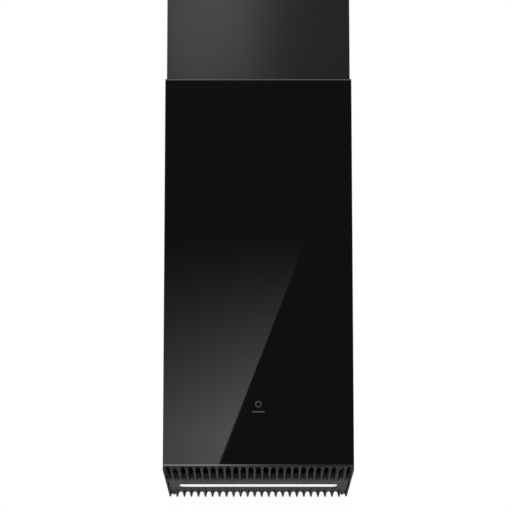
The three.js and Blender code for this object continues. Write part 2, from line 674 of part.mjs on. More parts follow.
function controlBox() {
  const { half, low, high, front, rear, wall } = CONTROL;
  const hollow = box(-half + wall, half - wall, front + wall, 0, low + wall, high - wall);
  const entry = box(-12, 12, front + 12, front + 20, low - 5, low + 5);
  return cut(box(-half, half, front, rear, low, high), hollow, entry);
}

function controlBoxLid() {
  const { half, low, high, rear } = CONTROL;
  return box(-half, half, rear + GAP, rear + GAP + 2, low, high);
}

function powerBoard() {
  const { half, low, high, front } = CONTROL;
  const board = box(-half + 6, half - 6, front + 6, front + 7.6, low + 6, high - 6);
  const seat = front + 7.5;
  const parts = [
    box(-70, -40, seat, front + 26, 600, 626), // transformer
    box(-20, 0, seat, front + 22, 604, 620), // relay
    box(10, 30, seat, front + 22, 604, 620), // relay
    box(46, 84, seat, front + 18, 520, 534), // terminal block
    box(-60, 20, seat, front + 12, 540, 548), // connectors
  ];
  return join(board, ...parts);
}

function cableGland() {
  const { x, y, radius, bore } = GLAND;
  const seat = BODY_TOP + GAP;
  const bottom = BODY_TOP - 13;
  const profile = [
    [bore, bottom], [radius, bottom], [radius, seat], [12, seat], [12, seat + 4], [9, seat + 13],
    [bore, seat + 13],
  ];
  return turned("z", profile, x, y, 16);
}

function glandNut() {
  const nut = prism("z", hexagon(GLAND.x, GLAND.y, 13), BODY_TOP - 9, BODY_TOP - SHEET - GAP);
  return cut(nut, rod("z", GLAND.radius + GAP, 0, FAR, GLAND.x, GLAND.y, 16));
}

function touchBoard() {
  const front = CARRIER_FRONT + 0.1;
  return box(-TOUCH.half, TOUCH.half, front, front + 1.6, TOUCH.low, TOUCH.high);
}

add("touch_board", touchBoard(), boardGreen);
add("control_box", controlBox(), blackPlastic);
add("control_box_lid", controlBoxLid(), blackPlastic);
add("power_board", powerBoard(), boardGreen);
add("led_driver", box(-70, 10, CONTROL.front, -352, 452, 490), greyPlastic);
add("cable_gland", cableGland(), blackPlastic);
add("gland_nut", glandNut(), blackPlastic);

// ---- Chimney covers -----------------------------------------------------------------------------
// A three-sided cover with return flanges along its open back.
function cover({ half, front, sheet }, back, flange, bottom, top) {
  const inner = half - sheet;
  const outline = [
    [-half, front], [half, front], [half, back], [half - flange, back], [half - flange, back - sheet],
    [inner, back - sheet], [inner, front + sheet], [-inner, front + sheet], [-inner, back - sheet],
    [-half + flange, back - sheet], [-half + flange, back], [-half, back],
  ];
  return prism("z", outline, bottom, top);
}

const VENT = { rows: 5, pitch: 8, high: 3.5, front: -265, rear: -115, first: 990 };
const COVER_SCREW = { y: -24, z: 1018, radius: 2 }; // the screws' common axis
const STRIP = { low: 1006, high: 1030, ears: -34, pad: 134, wallHoles: 90 };

function chimneyUpper() {
  const shell = cover(COVER_HIGH, -2.4, 16, COVER_HIGH.bottom, COVER_HIGH.top);
  const slots = [...Array(VENT.rows).keys()].map((i) => {
    const z = VENT.first + i * VENT.pitch;
    return box(-FAR, FAR, VENT.front, VENT.rear, z, z + VENT.high);
  });
  const screwHole = rod("x", COVER_SCREW.radius + 0.6, -FAR, FAR, COVER_SCREW.y, COVER_SCREW.z, 10);
  return cut(shell, ...slots, screwHole);
}

function chimneyBracket() {
  const inner = COVER_HIGH.half - COVER_HIGH.sheet - GAP;
  const { low, high, ears, pad, wallHoles } = STRIP;
  const strip = box(-inner, inner, -5.6, -4, low, high);
  const wallPad = box(-pad, pad, -4.5, -GAP, low, high);
  const sides = [[-inner, -inner + 1.5], [inner - 1.5, inner]].map(([x0, x1]) =>
    box(x0, x1, ears, -4, low, high));
  const holes = [-wallHoles, wallHoles].map((x) => rod("y", 3, -20, 20, x, COVER_SCREW.z, 12));
  const screwHole = rod("x", COVER_SCREW.radius + GAP, -FAR, FAR, COVER_SCREW.y, COVER_SCREW.z, 10);
  return cut(join(strip, wallPad, ...sides), ...holes, screwHole);
}

function chimneyScrew() {
  const { half, sheet } = COVER_HIGH;
  const { y, z, radius } = COVER_SCREW;
  const seat = half + 0.15;
  const shank = rod("x", radius, half - sheet - 8, half + 0.5, y, z, 10);
  const head = turned("x", [[0, seat], [4, seat], [3.4, half + 1.5], [0, half + 1.7]], y, z, 14);
  return join(shank, head);
}

add("chimney_lower", cover(COVER_LOW, -0.5, 18, BODY_TOP + GAP, COVER_LOW.top), coverPaint);
add("chimney_upper", chimneyUpper(), coverPaint);
add("chimney_bracket", chimneyBracket(), galvanised);
addPair("chimney_screw", chimneyScrew(), steel);

const part = new THREE.Group();
part.add(hood);

export default part;
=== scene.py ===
"""Looks of a wall-mounted recirculating cooker hood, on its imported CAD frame.

Pieces are drawn in millimetres: X along the wall, Y = 0 on the wall with the room at -Y, and Z counted
from the tips of the comb's fins. place() turns that into the frame's metres.
"""

import json
import math

import bmesh
import bpy
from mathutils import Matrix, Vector


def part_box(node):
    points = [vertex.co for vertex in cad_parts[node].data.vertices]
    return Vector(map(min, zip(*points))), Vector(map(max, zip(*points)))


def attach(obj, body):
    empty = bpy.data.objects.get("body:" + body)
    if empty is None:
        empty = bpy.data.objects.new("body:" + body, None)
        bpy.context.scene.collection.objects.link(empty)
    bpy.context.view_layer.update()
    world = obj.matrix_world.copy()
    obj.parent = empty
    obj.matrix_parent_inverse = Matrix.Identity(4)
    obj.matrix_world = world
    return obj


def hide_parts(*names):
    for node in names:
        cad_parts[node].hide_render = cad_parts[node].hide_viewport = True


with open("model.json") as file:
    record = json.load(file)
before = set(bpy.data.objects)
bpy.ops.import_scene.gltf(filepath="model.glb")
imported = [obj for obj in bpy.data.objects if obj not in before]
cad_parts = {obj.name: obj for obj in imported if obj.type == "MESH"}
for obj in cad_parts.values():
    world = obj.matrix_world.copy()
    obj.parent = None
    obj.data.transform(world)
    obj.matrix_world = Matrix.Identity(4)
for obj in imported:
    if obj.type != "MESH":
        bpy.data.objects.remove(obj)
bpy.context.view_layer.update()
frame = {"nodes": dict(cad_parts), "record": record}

MM = 0.001
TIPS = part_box("comb_grille")[0].z  # height of the fins' tips in the frame


def place(point):
    """A point in millimetres, counted from the fins' tips, in the frame's metres."""
    return Vector((point[0] * MM, point[1] * MM, TIPS + point[2] * MM))


def box_mm(node):
    """A CAD node's lowest and highest corners in millimetres, counted from the fins' tips."""
    low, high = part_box(node)
    drop = Vector((0, 0, TIPS))
    return (low - drop) / MM, (high - drop) / MM


glass_low, glass_high = box_mm("front_glass")
HALF = glass_high.x  # half the body's width
FACE = glass_low.y  # front of the glass
BODY_TOP = glass_high.z

# ---- Camera ------------------------------------
EYE_AHEAD = 4600  # the eye in front of the glass
EYE_BELOW = 571  # and below the fins
EYE_LEFT = 4
AIM_HEIGHT = 366  # where the view's axis meets the glass
LENS = 194.5


def add_object(name, data):
    thing = bpy.data.objects.new(name, data)
    bpy.context.scene.collection.objects.link(thing)
    return thing


def stand(thing, position, aim):
    """Puts a camera or a light at one place, facing another."""
    thing.location = place(position)
    way = place(aim) - thing.location
    thing.rotation_euler = way.to_track_quat("-Z", "Y").to_euler()


def add_camera():
    data = bpy.data.cameras.new("camera")
    data.lens = LENS
    data.sensor_width = 36
    data.clip_start, data.clip_end = 0.05, 60
    camera = add_object("camera", data)
    stand(camera, (-EYE_LEFT, FACE - EYE_AHEAD, -EYE_BELOW), (-EYE_LEFT, FACE, AIM_HEIGHT))
    bpy.context.scene.camera = camera


add_camera()


# ---- Materials ---------------------------------
class Surface:
    """A Principled material with small helpers for its procedural detail."""

    def __init__(self, name, colour, roughness, metallic=0.0, **sockets):
        self.material = bpy.data.materials.new(name)
        self.material.use_nodes = True
        self.nodes = self.material.node_tree.nodes
        self.links = self.material.node_tree.links
        self.shader = self.nodes["Principled BSDF"]
        self.shader.inputs["Base Color"].default_value = (*colour, 1)
        self.shader.inputs["Roughness"].default_value = roughness
        self.shader.inputs["Metallic"].default_value = metallic
        for key, value in sockets.items():
            self.shader.inputs[key.replace("_", " ")].default_value = value
        self.coords = self.nodes.new("ShaderNodeTexCoord").outputs["Object"]

    def stretched(self, scale):
        mapping = self.nodes.new("ShaderNodeMapping")
        mapping.inputs["Scale"].default_value = scale
        self.links.new(self.coords, mapping.inputs["Vector"])
        return mapping.outputs["Vector"]

    def noise(self, scale, detail=3.0, vector=None):
        node = self.nodes.new("ShaderNodeTexNoise")
        node.inputs["Scale"].default_value = scale
        node.inputs["Detail"].default_value = detail
        self.links.new(vector or self.coords, node.inputs["Vector"])
        return node.outputs["Fac"]

    def cells(self, scale, output="Color", vector=None):
        node = self.nodes.new("ShaderNodeTexVoronoi")
        node.inputs["Scale"].default_value = scale
        self.links.new(vector or self.coords, node.inputs["Vector"])
        return node.outputs[output]

    def remap(self, value, low, high, start=0.3, end=0.7):
        node = self.nodes.new("ShaderNodeMapRange")
        node.inputs["From Min"].default_value = start
        node.inputs["From Max"].default_value = end
        node.inputs["To Min"].default_value = low
        node.inputs["To Max"].default_value = high
        self.links.new(value, node.inputs["Value"])
        return node.outputs["Result"]

    def roughness(self, value, low, high):
        self.links.new(self.remap(value, low, high), self.shader.inputs["Roughness"])

    def colour(self, value, dark, light, start=0.3, end=0.7):
        ramp = self.nodes.new("ShaderNodeValToRGB")
        ramp.color_ramp.elements[0].position = start
        ramp.color_ramp.elements[1].position = end
        ramp.color_ramp.elements[0].color = (*dark, 1)
        ramp.color_ramp.elements[1].color = (*light, 1)
        self.links.new(value, ramp.inputs["Fac"])
        self.links.new(ramp.outputs["Color"], self.shader.inputs["Base Color"])

    def bump(self, value, strength, distance):
        node = self.nodes.new("ShaderNodeBump")
        node.inputs["Strength"].default_value = strength
        node.inputs["Distance"].default_value = distance
        self.links.new(value, node.inputs["Height"])
        self.links.new(node.outputs["Normal"], self.shader.inputs["Normal"])


def grey(value):
    return (value, value, value * 1.02)


def shade(value):
    """A colour; a single number is a grey."""
    return value if isinstance(value, tuple) else grey(value)


def grained(name, base, rough, gloss, tint, grain=None, metallic=0.0, **sockets):
    """A material with uneven gloss, tint and grain.

    Each is a noise's scale and detail, then its two ends, or the grain's strength and depth in metres."""
    surface = Surface(name, shade(base), rough, metallic, **sockets)
    surface.roughness(surface.noise(*gloss[:2]), *gloss[2:])
    surface.colour(surface.noise(*tint[:2]), *map(shade, tint[2:]))
    if grain:
        surface.bump(surface.noise(*grain[:2]), *grain[2:])
    return surface.material


def moulded(name, value, rough):
    gloss = (45, 4, rough - 0.06, rough + 0.08)
    return grained(name, value, rough, gloss, (12, 4, value * 0.88, value * 1.12), (1800, 2, 0.15, 0.00008))


def glass_surface():
    surface = Surface("black_glass", (0.0005, 0.0005, 0.0006), 0.01, IOR=1.52)
    surface.roughness(surface.noise(9, 5), 0.006, 0.014)
    return surface.material


def galvanised_surface():
    surface = Surface("galvanised_steel", (0.42, 0.44, 0.45), 0.4, metallic=0.9)
    spangle = surface.cells(75)
    surface.colour(spangle, (0.34, 0.36, 0.375), (0.5, 0.52, 0.53), 0.1, 0.9)
    surface.roughness(surface.noise(90, 5), 0.34, 0.5)
    surface.bump(surface.noise(500, 3), 0.08, 0.00008)
    return surface.material


def aluminium_surface():
    surface = Surface("aluminium_sheet", grey(0.62), 0.28, metallic=1.0)
    brushed = surface.noise(60, 4, surface.stretched((0.6, 60, 60)))
    surface.roughness(brushed, 0.28, 0.42)
    surface.colour(brushed, grey(0.558), grey(0.6696))
    surface.bump(brushed, 0.06, 0.00005)
    return surface.material


def board_surface():
    surface = Surface("circuit_board", (0.012, 0.09, 0.035), 0.35)
    tracks = surface.cells(130, "Distance", surface.stretched((1, 1, 0.25)))
    surface.colour(tracks, (0.008, 0.06, 0.022), (0.018, 0.12, 0.05), 0.15, 0.5)
    surface.roughness(surface.noise(80, 3), 0.3, 0.42)
    return surface.material


def diffuser_surface():
    surface = Surface("lamp_diffuser", (0.5, 0.5, 0.49), 0.4)
    surface.shader.inputs["Emission Color"].default_value = (1, 0.985, 0.96, 1)
    glow = surface.noise(40, 1, surface.stretched((1, 0.2, 0.2)))
    surface.links.new(surface.remap(glow, 0.53, 0.6), surface.shader.inputs["Emission Strength"])
    return surface.material


def carbon_surface():
    surface = Surface("carbon_cartridge", grey(0.01), 0.6)
    granules = surface.cells(420, "Distance")
    surface.colour(granules, grey(0.006), grey(0.016), 0.1, 0.6)
    surface.roughness(granules, 0.5, 0.75)
    surface.bump(granules, 0.4, 0.0003)
    return surface.material


def mark_surface():
    surface = Surface("mark_print", grey(0.08), 0.4)
    surface.colour(surface.noise(700, 2), grey(0.07), grey(0.09))
    return surface.material


LOOKS = {
    "black_glass": glass_surface(),
    "black_paint": grained(
        "black_paint", 0.012, 0.42, (14, 6, 0.38, 0.48), (5, 4, 0.0105, 0.0135), (1400, 2, 0.12, 0.00006),
    ),
    "chimney_paint": grained(
        "chimney_paint", 0.01, 0.17, (6, 4, 0.15, 0.19), (3, 4, 0.0094, 0.0106), (900, 2, 0.05, 0.00005),
    ),
    "grille_plastic": grained(
        "grille_plastic", 0.026, 0.5, (60, 5, 0.42, 0.58), (20, 5, 0.023, 0.029), (2600, 2, 0.25, 0.00008),
        Specular_IOR_Level=0.25,
    ),
    "galvanised_steel": galvanised_surface(),
    "zinc_steel": grained(
        "zinc_steel", (0.5, 0.51, 0.52), 0.3, (240, 4, 0.24, 0.4),
        (120, 3, (0.44, 0.45, 0.46), (0.56, 0.57, 0.57)), (1500, 2, 0.06, 0.00005), metallic=1.0,
    ),
    "aluminium_sheet": aluminium_surface(),
    # Near-black filter: partly its black coating, partly painted shade that darkens the gaps between the
    # comb's fins.
    "filter_black": grained(
        "filter_black", 0.014, 0.45, (150, 4, 0.38, 0.55), (60, 4, 0.011, 0.018), (1200, 2, 0.1, 0.00006),
        metallic=0.4,
    ),
    "circuit_board": board_surface(),
    "lamp_diffuser": diffuser_surface(),
    "black_plastic": moulded("black_plastic", 0.015, 0.45),
    "grey_plastic": moulded("grey_plastic", 0.25, 0.45),
    "magnet_ferrite": grained(
        "magnet_ferrite", 0.05, 0.5, (200, 4, 0.42, 0.6), (90, 4, 0.04, 0.06), metallic=0.2,
    ),
    "motor_casing": grained(
        "motor_casing", 0.35, 0.45, (160, 5, 0.38, 0.55), (70, 4, 0.3, 0.4), (900, 3, 0.2, 0.0001),
        metallic=0.9,
    ),
    "carbon_cartridge": carbon_surface(),
}
MARK = mark_surface()


# ---- Solids in millimetres ---------------------
# A solid here is a pair: its points, and its faces as lists of point numbers.
def joined(*solids):
    points, faces = [], []
    for solid_points, solid_faces in solids:
        start = len(points)
        points += solid_points
        faces += [[start + i for i in face] for face in solid_faces]
    return points, faces


def turned_to(axis, a, b, along):
    """A point from two cross coordinates and one along an axis, in the order that the CAD uses."""
    return {"x": (along, a, b), "y": (a, along, b), "z": (a, b, along)}[axis]


def skin(levels, closed=False):
    """A solid over a stack of rings of points, with a cap at each end, or with its last ring on its first."""
    count, points = len(levels[0]), [point for level in levels for point in level]
    faces = []
    for number in range(len(levels) if closed else len(levels) - 1):
        low, high = number * count, (number + 1) % len(levels) * count
        for i in range(count):
            j = (i + 1) % count
            faces.append([low + i, low + j, high + j, high + i])
    if not closed:
        faces += [list(range(count))[::-1], list(range(len(points) - count, len(points)))]
    return points, faces


def prism(axis, outline, start, end, far_outline=None):
    """An outline pushed along an axis: (y, z) along x, (x, z) along y, (x, y) along z.

    It ends in far_outline where one is given, with as many points."""
    near = [turned_to(axis, a, b, start) for a, b in outline]
    return skin([near, [turned_to(axis, a, b, end) for a, b in far_outline or outline]])


def block(x0, x1, y0, y1, z0, z1):
    return prism("z", [(x0, y0), (x1, y0), (x1, y1), (x0, y1)], z0, z1)


def lathe(axis, profile, a, b, segments=64):
    """A closed profile of (radius, height) turned about an axis; points at radius 0 become one."""
    points, rings = [], []
    for radius, height in profile:
        start = len(points)
        if radius == 0:
            points.append(turned_to(axis, a, b, height))
            rings.append([start] * segments)
            continue
        for i in range(segments):
            turn = 2 * math.pi * i / segments
            points.append(turned_to(axis, a + radius * math.cos(turn), b + radius * math.sin(turn), height))
        rings.append(list(range(start, start + segments)))
    closed = profile[0][0] != 0
    pairs = list(zip(rings, rings[1:])) + ([(rings[-1], rings[0])] if closed else [])
    faces = []
    for low, high in pairs:
        for i in range(segments):
            j = (i + 1) % segments
            face = list(dict.fromkeys([low[i], low[j], high[j], high[i]]))
            if len(face) > 2:
                faces.append(face)
    return points, faces


def rod(axis, radius, start, end, a, b, segments=32, round_end=0.0):
    """A round bar, with small chamfers at its ends."""
    c = round_end
    profile = [(0, start), (radius - c, start), (radius, start + c)]
    profile += [(radius, end - c), (radius - c, end), (0, end)]
    return lathe(axis, list(dict.fromkeys(profile)), a, b, segments)


def ring(axis, inner, outer, start, end, a, b, segments=96):
    return lathe(axis, [(inner, start), (outer, start), (outer, end), (inner, end)], a, b, segments)


def arc(centre, radius, start, end, steps):
    """Points of an arc between two angles in degrees."""
    turns = [math.radians(start + (end - start) * i / steps) for i in range(steps + 1)]
    return [(centre[0] + radius * math.cos(t), centre[1] + radius * math.sin(t)) for t in turns]


def symmetric(half_line):
    """An open line across the middle, from its right half."""
    return [(-x, y) for x, y in half_line] + half_line[::-1]


def rounded_path(corners, radius, steps=5):
    """An open path through corners, with its inner corners rounded."""
    path = [corners[0]]
    for before, here, after in zip(corners, corners[1:], corners[2:]):
        p, h, n = Vector(before), Vector(here), Vector(after)
        to_p, to_n = (p - h).normalized(), (n - h).normalized()
        cut = min(radius, (p - h).length * 0.45, (n - h).length * 0.45)
        for i in range(steps + 1):
            t = i / steps
            spot = (h + to_p * cut) * (1 - t) ** 2 + h * (2 * t * (1 - t)) + (h + to_n * cut) * t**2
            path.append(tuple(spot))
    path.append(corners[-1])
    return path


def sheet_outline(path, thickness):
    """The closed outline of a bent sheet whose outer face follows a path; the sheet lies to its left."""
    inner = []
    for i, here in enumerate(path):
        before, after = Vector(path[max(i - 1, 0)]), Vector(path[min(i + 1, len(path) - 1)])
        way = (after - before).normalized()
        inner.append((here[0] - way.y * thickness, here[1] + way.x * thickness))
    return list(path) + inner[::-1]


# ---- Pieces ------------------------------------
def mesh_of(name, solid):
    mesh = bpy.data.meshes.new(name)
    points, faces = solid
    mesh.from_pydata([place(p) for p in points], [], faces)
    tidy = bmesh.new()
    tidy.from_mesh(mesh)
    bmesh.ops.remove_doubles(tidy, verts=tidy.verts, dist=1e-7)
    bmesh.ops.recalc_face_normals(tidy, faces=tidy.faces)
    tidy.to_mesh(mesh)
    tidy.free()
    return mesh


def object_of(name, solid):
    return add_object(name, mesh_of(name, solid))


def apply_modifiers(piece):
    """The piece's mesh as its modifiers leave it."""
    bpy.context.view_layer.update()
    seen = piece.evaluated_get(bpy.context.evaluated_depsgraph_get())
    mesh = bpy.data.meshes.new_from_object(seen)
    piece.modifiers.clear()
    piece.data = mesh
    return piece


def combine(piece, operation, *solids):
    """Joins solids to a piece, or cuts them from it."""
    tool = object_of(piece.name + "_tool", joined(*solids))
    cutter = piece.modifiers.new("combine", "BOOLEAN")
    cutter.operation = operation
    cutter.object = tool
    cutter.solver = "EXACT"
    cutter.use_self = True
    apply_modifiers(piece)
    bpy.data.objects.remove(tool)
    return piece


def smooth(piece, angle=35):
    mesh = piece.data
    mesh.polygons.foreach_set("use_smooth", [True] * len(mesh.polygons))
    mesh.set_sharp_from_angle(angle=math.radians(angle))


def soften(piece, width, segments=2, angle=40):
    """Small rounded edges, kept as modifiers."""
    bevel = piece.modifiers.new("edges", "BEVEL")
    bevel.width = width * MM
    bevel.segments = segments
    bevel.limit_method = "ANGLE"
    bevel.angle_limit = math.radians(angle)
    bevel.use_clamp_overlap = True
    bevel.harden_normals = True
    for polygon in piece.data.polygons:
        polygon.use_smooth = True
    return piece


def finish_piece(piece, look, body, nodes=(), edge=0.0, angle=35):
    """Gives a piece its material, its body and the CAD nodes it stands for."""
    smooth(piece, angle)
    piece.data.materials.clear()
    piece.data.materials.append(MARK if look == "mark" else LOOKS[look])
    if edge:
        soften(piece, edge)
    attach(piece, body)
    if nodes:
        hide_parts(*nodes)
    return piece


def add_piece(name, solid, look, body, nodes=(), edge=0.0, angle=35):
    return finish_piece(object_of(name, solid), look, body, nodes, edge, angle)


SIDES = {1: "right", -1: "left"}


def mirrored(solid):
    points, faces = solid
    return [(-x, y, z) for x, y, z in points], [face[::-1] for face in faces]


# ---- Glass front -------------------------------
GLASS_THICK = glass_high.y - FACE
BEVEL_HIGH = 2.6
BEVEL_DEEP = 1.6
ARRIS = 0.7  # the ground arris on the glass's long edges


def glass_level(z, front):
    """One horizontal section of the glass, with its arrises."""
    right = [(HALF, FACE + GLASS_THICK), (HALF, front + ARRIS), (HALF - ARRIS, front)]
    return [(x, y, z) for x, y in symmetric(right)]


def glass_solid():
    low, high = glass_low.z, glass_high.z
    return skin([
        glass_level(low, FACE + BEVEL_DEEP),
        glass_level(low + BEVEL_HIGH, FACE),
        glass_level(high - BEVEL_HIGH, FACE),
        glass_level(high, FACE + BEVEL_DEEP),
    ])


MARK_HEIGHT = 112  # centre of the printed mark above the fins' tips
MARK_RING = 5.2


def glass_mark():
    """A plain ring over a short bar, printed on the glass."""
    print_depth = (FACE - 0.05, FACE + 0.05)
    circle = ring("y", MARK_RING - 1.1, MARK_RING, *print_depth, 0, MARK_HEIGHT, 64)
    return joined(circle, block(-10, 10, *print_depth, MARK_HEIGHT - 13.6, MARK_HEIGHT - 12))


glass = glass_solid()
add_piece("front_glass_sheet", glass, "black_glass", "hood_body", ["front_glass"], edge=0.15, angle=20)
add_piece("glass_mark", glass_mark(), "mark", "hood_body")

# ---- Side panels and their fixings -------------
side_low, side_high = box_mm("side_panel_right")
SHEET = 1.0
FLANGE_IN = side_low.x


def side_panel_solid():
    front, back = side_low.y, side_high.y
    corners = [(FLANGE_IN, front), (HALF, front), (HALF, back), (FLANGE_IN, back)]
    return prism("z", sheet_outline(rounded_path(corners, 1.6), SHEET), side_low.z, side_high.z)


RIVET_X = 153  # middle of the side panels' rear flanges
RIVET_HEIGHTS = (30, 190, 350, 510, 650)


def rivet(x, z):
    """A low round rivet head, let into the flange so that it stays behind the wall face."""
    profile = [(0, -0.9), (3.1, -0.9), (3.1, -0.35), (2.2, -0.1), (0, -0.02)]
    return lathe("y", profile, x, z, 32)


def side_panel_piece(side):
    name = SIDES[side]
    shell = side_panel_solid() if side > 0 else mirrored(side_panel_solid())
    pits = [rod("y", 3.5, -0.6, 2, side * RIVET_X, z) for z in RIVET_HEIGHTS]
    piece = combine(object_of(f"side_panel_shell_{name}", shell), "DIFFERENCE", *pits)
    finish_piece(piece, "black_paint", "hood_body", [f"side_panel_{name}"], edge=0.15)


for side in SIDES:
    side_panel_piece(side)
rivets = [rivet(side * RIVET_X, z) for side in (-1, 1) for z in RIVET_HEIGHTS]
add_piece("back_rivets", joined(*rivets), "zinc_steel", "hood_body")

# ---- Comb grille -------------------------------
comb_low, comb_high = box_mm("comb_grille")
lamp_low, lamp_high = box_mm("lamp_housing")
FINS = 26
FIN_TIP = 2.8
FIN_ROOT = 5.4
FIN_HIGH = 9.0
PITCH = (2 * HALF - FIN_TIP) / (FINS - 1)


def fin_x(i):
    return -HALF + FIN_TIP / 2 + i * PITCH


def comb_outline(arch_top, half, top):
    """The comb from the front: tapered fins with round arches between them, under a plate."""
    radius = (PITCH - FIN_ROOT) / 2
    spring = arch_top - radius
    outline = [(-half, top), (-half, 0.5), (-half + 0.5, 0)]
    for i in range(FINS - 1):
        outline += [(fin_x(i) + FIN_TIP / 2 - 0.5, 0), (fin_x(i) + FIN_TIP / 2, 0.5)]
        outline += arc((fin_x(i) + PITCH / 2, spring), radius, 180, 0, 12)
        outline += [(fin_x(i + 1) - FIN_TIP / 2, 0.5), (fin_x(i + 1) - FIN_TIP / 2 + 0.5, 0)]
    return outline + [(half - 0.5, 0), (half, 0.5), (half, top)]


def fin_solid(i, start, end):
    """A tapered fin with a rounded lower edge, just inside the outline of the rims."""
    x, tip, root, limit = fin_x(i), FIN_TIP / 2, FIN_ROOT / 2, HALF - 0.1
    lower = arc((x, tip * 0.7 + 0.1), tip, 205, 335, 6)
    lower = [(max(-limit, min(limit, a)), max(b, 0.1)) for a, b in lower]
    left, right = max(-limit, x - root), min(limit, x + root)
    return prism("y", [(left, FIN_HIGH)] + lower + [(right, FIN_HIGH)], start, end)


HINGE_Y = -12  # the comb's hinge axis, in the CAD's millimetres
HINGE_Z = 6
PIN = 1.6
ARM_X = 151  # middle of the steel arm that holds a pin
ARM_SLOT = 2.1  # half the width of an arm's slot
ARCH_FRONT = 7.1  # tops of the arches
ARCH_REAR = 9.4
RIM_HIGH = 7.7  # top of the front rim
RIM_REAR_HALF = 158.4
RIM_REAR_FRONT = -11
RAIL = (-154, 154, -377.2, -371.05)  # a low rail over the fins, behind the front rim
EDGE_BAR = (155.3, 158.3)  # the bars over the outermost fins
CROSS_HALF = 157  # half the length of the bars across the comb
CROSS_DEEP = 4
APRON_LOW = 5  # the plate behind the lamp is level up to the bend and rises to the rear arches
APRON_HIGH = 10
APRON_BEND = -62
APRON_THICK = 1.5
APRON_SLOT = -50  # front end of the slots for the arms


def apron_solid(front, rear):
    """The plate between the rear fins, with a slot for each hinge arm, as strips side by side."""
    bend, rise = APRON_BEND, (APRON_HIGH - APRON_LOW) / (rear - APRON_BEND)

    def strip(end, x0, x1):
        high = APRON_LOW + rise * (end - bend)
        outline = [(front, APRON_LOW), (bend, APRON_LOW), (end, high), (end, high + APRON_THICK)]
        outline += [(bend, APRON_LOW + APRON_THICK), (front, APRON_LOW + APRON_THICK)]
        return prism("x", outline, *sorted((x0, x1)))

    near, far = ARM_X - ARM_SLOT, ARM_X + ARM_SLOT
    strips = [strip(rear, -near, near)]
    for side in (-1, 1):
        strips.append(strip(APRON_SLOT, side * (near - 0.1), side * (far + 0.1)))
        strips.append(strip(rear, side * far, side * CROSS_HALF))
    return joined(*strips)


def comb_piece():
    front, rear, top = comb_low.y, comb_high.y, comb_high.z
    lamp_front, lamp_rear = lamp_low.y - 0.5, lamp_high.y + 0.5
    fin_front = front + 3.3
    rims = joined(
        prism("y", comb_outline(ARCH_FRONT, HALF, RIM_HIGH), front, front + 3.8),
        prism("y", comb_outline(ARCH_REAR, RIM_REAR_HALF, top), RIM_REAR_FRONT, rear),
    )
    piece = object_of("comb_grille_moulding", rims)
    reliefs = [rod("x", 4, x - 2.4, x + 2.4, HINGE_Y, HINGE_Z) for x in (-ARM_X, ARM_X)]
    combine(piece, "DIFFERENCE", *reliefs)
    rounded_bar = arc((lamp_front, CROSS_DEEP + 0.2), CROSS_DEEP, 180, 270, 10)
    rounded_bar += [(lamp_front, top - 1), (lamp_front - CROSS_DEEP, top - 1)]
    bars = [
        block(*RAIL, FIN_HIGH - 0.5, top),
        prism("x", rounded_bar, -CROSS_HALF, CROSS_HALF),
        block(-CROSS_HALF, CROSS_HALF, lamp_rear, lamp_rear + CROSS_DEEP, 0.2, top - 1),
        apron_solid(lamp_rear + 3, RIM_REAR_FRONT + 0.5),
    ]
    for i in range(1, FINS - 1):
        bars.append(fin_solid(i, fin_front, lamp_front - 0.3))
        bars.append(fin_solid(i, lamp_rear + 3, RIM_REAR_FRONT + 1))
    for side, outer in ((-1, 0), (1, FINS - 1)):
        edge = sorted(side * x for x in EDGE_BAR)
        pin = sorted((side * (ARM_X - 4), side * CROSS_HALF))
        bars.append(fin_solid(outer, fin_front, RIM_REAR_FRONT + 1))
        bars.append(block(*edge, -377.1, rear - 4, 7.2, top - 0.5))
        bars.append(rod("x", PIN, *pin, HINGE_Y, HINGE_Z, 24, 0.3))
    return combine(piece, "UNION", *bars)


finish_piece(comb_piece(), "grille_plastic", "comb", ["comb_grille"])

# ---- Light bar ---------------------------------
lens_low, lens_high = box_mm("lamp_diffuser")


def stadium(x0, x1, y0, y1, steps=12):
    """A slot's outline in plan: a rectangle with round ends."""
    radius, middle = (y1 - y0) / 2, (y0 + y1) / 2
    right = arc((x1 - radius, middle), radius, -90, 90, steps)
    left = arc((x0 + radius, middle), radius, 90, 270, steps)
    return right + left


def diffuser_solid():
    return prism("z", stadium(lens_low.x, lens_high.x, lens_low.y, lens_high.y), lens_low.z, lens_high.z)


add_piece("lamp_lens", diffuser_solid(), "lamp_diffuser", "comb", ["lamp_diffuser"], edge=0.3)

# ---- Grease filter -----------------------------
filter_low, filter_high = box_mm("filter_frame")
mesh_low, mesh_high = box_mm("filter_mesh")
FRAME_TOP = 26  # top of the filter's bars, under the handle's ears
BAR = 16
BAIL_Y = -350  # the handle's axis
BAIL_Z = 29


def filter_bars():
    """Four mitred bars with a fine seam at each corner."""
    x, front, rear, seam = filter_high.x, filter_low.y, filter_high.y, 0.15
    outer = [Vector(p) for p in ((-x, front), (x, front), (x, rear), (-x, rear))]
    inward = [Vector(p) * BAR for p in ((1, 1), (-1, 1), (-1, -1), (1, -1))]
    bars = []
    for i in range(4):
        j = (i + 1) % 4
        way = (outer[j] - outer[i]).normalized() * seam
        corners = (outer[i] + way, outer[j] - way, outer[j] + inward[j] - way, outer[i] + inward[i] + way)
        bars.append(prism("z", [tuple(corner) for corner in corners], filter_low.z, FRAME_TOP))
    return bars


def handle_ear(x):
    foot = FRAME_TOP - 0.5
    outline = [(BAIL_Y - 4, foot), *arc((BAIL_Y, BAIL_Z), 4, 180, 0, 12), (BAIL_Y + 4, foot)]
    return prism("x", outline, x - 2, x + 2)


def filter_frame_piece():
    piece = object_of("filter_frame_bars", joined(*filter_bars(), handle_ear(-24), handle_ear(24)))
    return combine(piece, "DIFFERENCE", rod("x", 1.9, -30, 30, BAIL_Y, BAIL_Z))


PLEATS = 20
PLEAT_STEPS = 6
MESH_ROWS = 74


